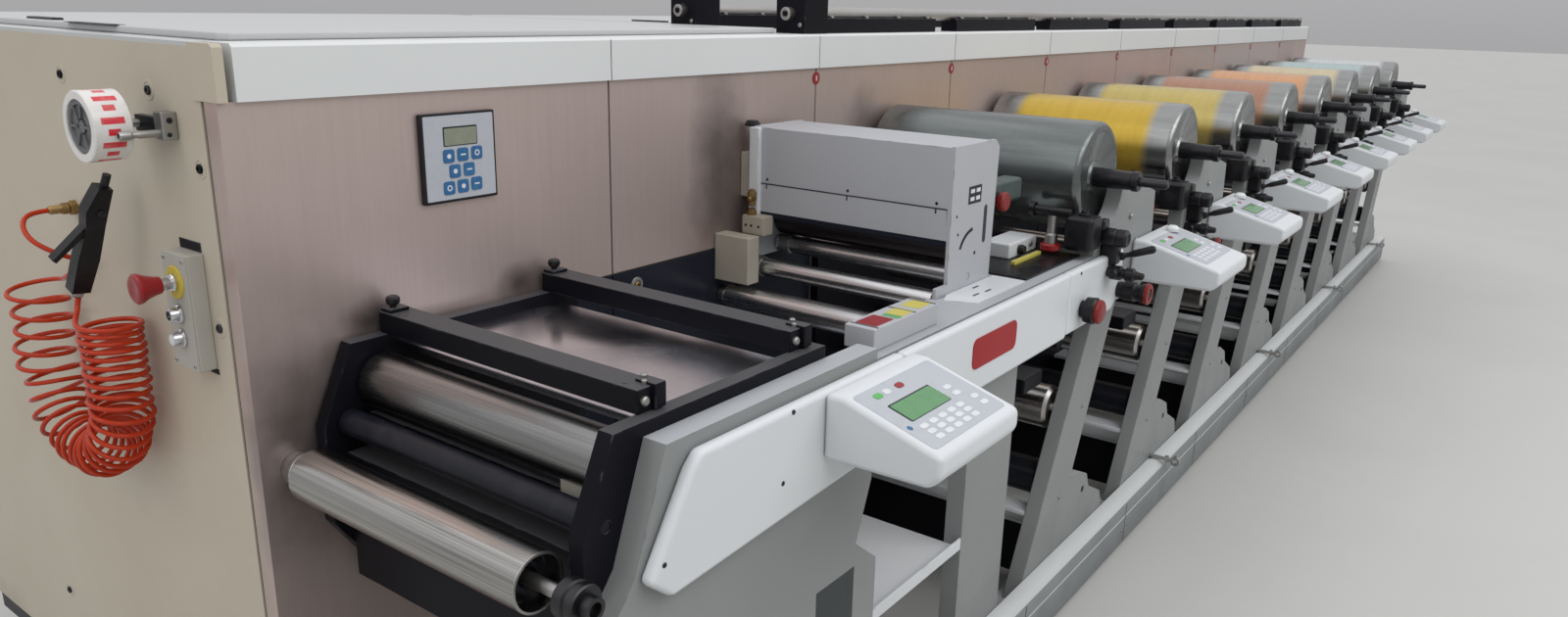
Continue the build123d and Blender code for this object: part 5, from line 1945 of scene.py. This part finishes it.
def make_rail_details():
    kit = Kit("rail_details")
    end = [(2, 0), (2, 14), (-1.5, 14), (-2.5, 12.5), (-2.5, 8), (1.5, 7), (1.5, 0)]
    profile = [(-1, 0), (-1, 6), (4, 6), (5, 5), (5, 3), (2, 3), (2, 0)]
    bolt = turned("bolt", "z", (0, 0, 0), profile, 12)
    for y in RAIL_PLACES:
        kit.add(slide_steel, turned("rail_end", "x", (RAIL_START, y, RAIL_Z), end, 32))
        kit.add(black_paint, hole_shade_disc("rail_bore", "x", (RAIL_START - 0.6, y, RAIL_Z), 6.5))
        for x in [start + step for start in BASE_STARTS for step in BASE_BOLTS]:
            for side in (-20, 20):
                kit.add(zinc, copy_to(bolt, "base_bolt", x, y + side, DECK_TOP + 36))
        for x in (CARRIAGE_START + 16, CARRIAGE_START + 79):
            for side in (-30, 30):
                kit.add(zinc, copy_to(bolt, "carriage_bolt", x, y + side, DECK_TOP + 76.5))
        place = (CARRIAGE_START, y - 28, DECK_TOP + 20)
        kit.add(zinc, socket_screw("carriage_screw", "x", place, 5, 3))
    discard(bolt)
    kit.close()


make_rail_details()

# %% [markdown]
# The deck is closed by five lids. The first has a bar handle and a finger slot at its near end,
# and the others a short grip each. Below the deck's white band the steel's seams run on as thin
# dark lines.
#
# %% Deck
LID_TOP = 1442.0
LIDS = 5


def make_deck_details():
    kit = Kit("deck_details")
    for number in range(LIDS):
        name, y0, y1 = ("lid_grip", 500, 620) if number else ("lid_handle", 650, 760)
        x = 60 + 2 * BAY * number
        handle = box(name, (x, y0, LID_TOP - 1), (x + 18, y1, LID_TOP + 4))
        kit.add(black_plastic, round_edges(handle, 2, 3))
    outline = rounded_outline(40, 64, 380, 560, 8)
    kit.add(black_paint, plate("lid_slot", "xy", outline, LID_TOP - 0.4, LID_TOP + 0.5))
    for bay in range(1, BAYS):
        x = POST_WIDTH + bay * BAY
        kit.add(dark_base, box("band_seam", (x - 0.8, -9.4, 1352.5), (x + 0.8, -8.8, 1426)))
    kit.close()


make_deck_details()

# %% [markdown]
# ## The back
#
# The back is a row of sheet doors. Each has a hinge at the top and at the bottom of one side, a
# louvred vent that is pressed out of the sheet, and a handle with a keyhole. The photograph
# doesn't show the back, so it is kept plain.
#
# %% Doors
DOOR_BACK = 1318.0
DOOR_START = POST_WIDTH + 4
HINGE = [(-32, 0), (-32, 8), (-2, 8), (-2, 7), (2, 7), (2, 8), (32, 8), (32, 0)]
KEY_RIM = [(-1, 0), (-1, 13), (3, 13), (4, 11), (4, 5), (1, 5), (1, 0)]
LOUVRES = 8
LOUVRE_STEP = 26


def make_doors():
    kit = Kit("door_details")
    left = DOOR_START
    for z in (300, 1200):
        kit.add(zinc, turned("hinge", "z", (left + 14, DOOR_BACK + 5, z), HINGE, 16))
    louvre = box("louvre", (left + 190, DOOR_BACK - 1, 250), (left + 490, DOOR_BACK + 7, 262))
    kit.add(cream_paint, round_edges(louvre, 3, 2))
    for step in range(1, LOUVRES):
        kit.add(cream_paint, copy_to(louvre, "louvre_copy", 0, 0, LOUVRE_STEP * step))
    kit.add(zinc, turned("key_rim", "y", (left + 622, DOOR_BACK, 690), KEY_RIM, 24))
    kit.repeat([bay * BAY for bay in range(1, BAYS)])
    kit.close()


make_doors()

# %% [markdown]
# ## Closing
#
#
# %% Last import
import json
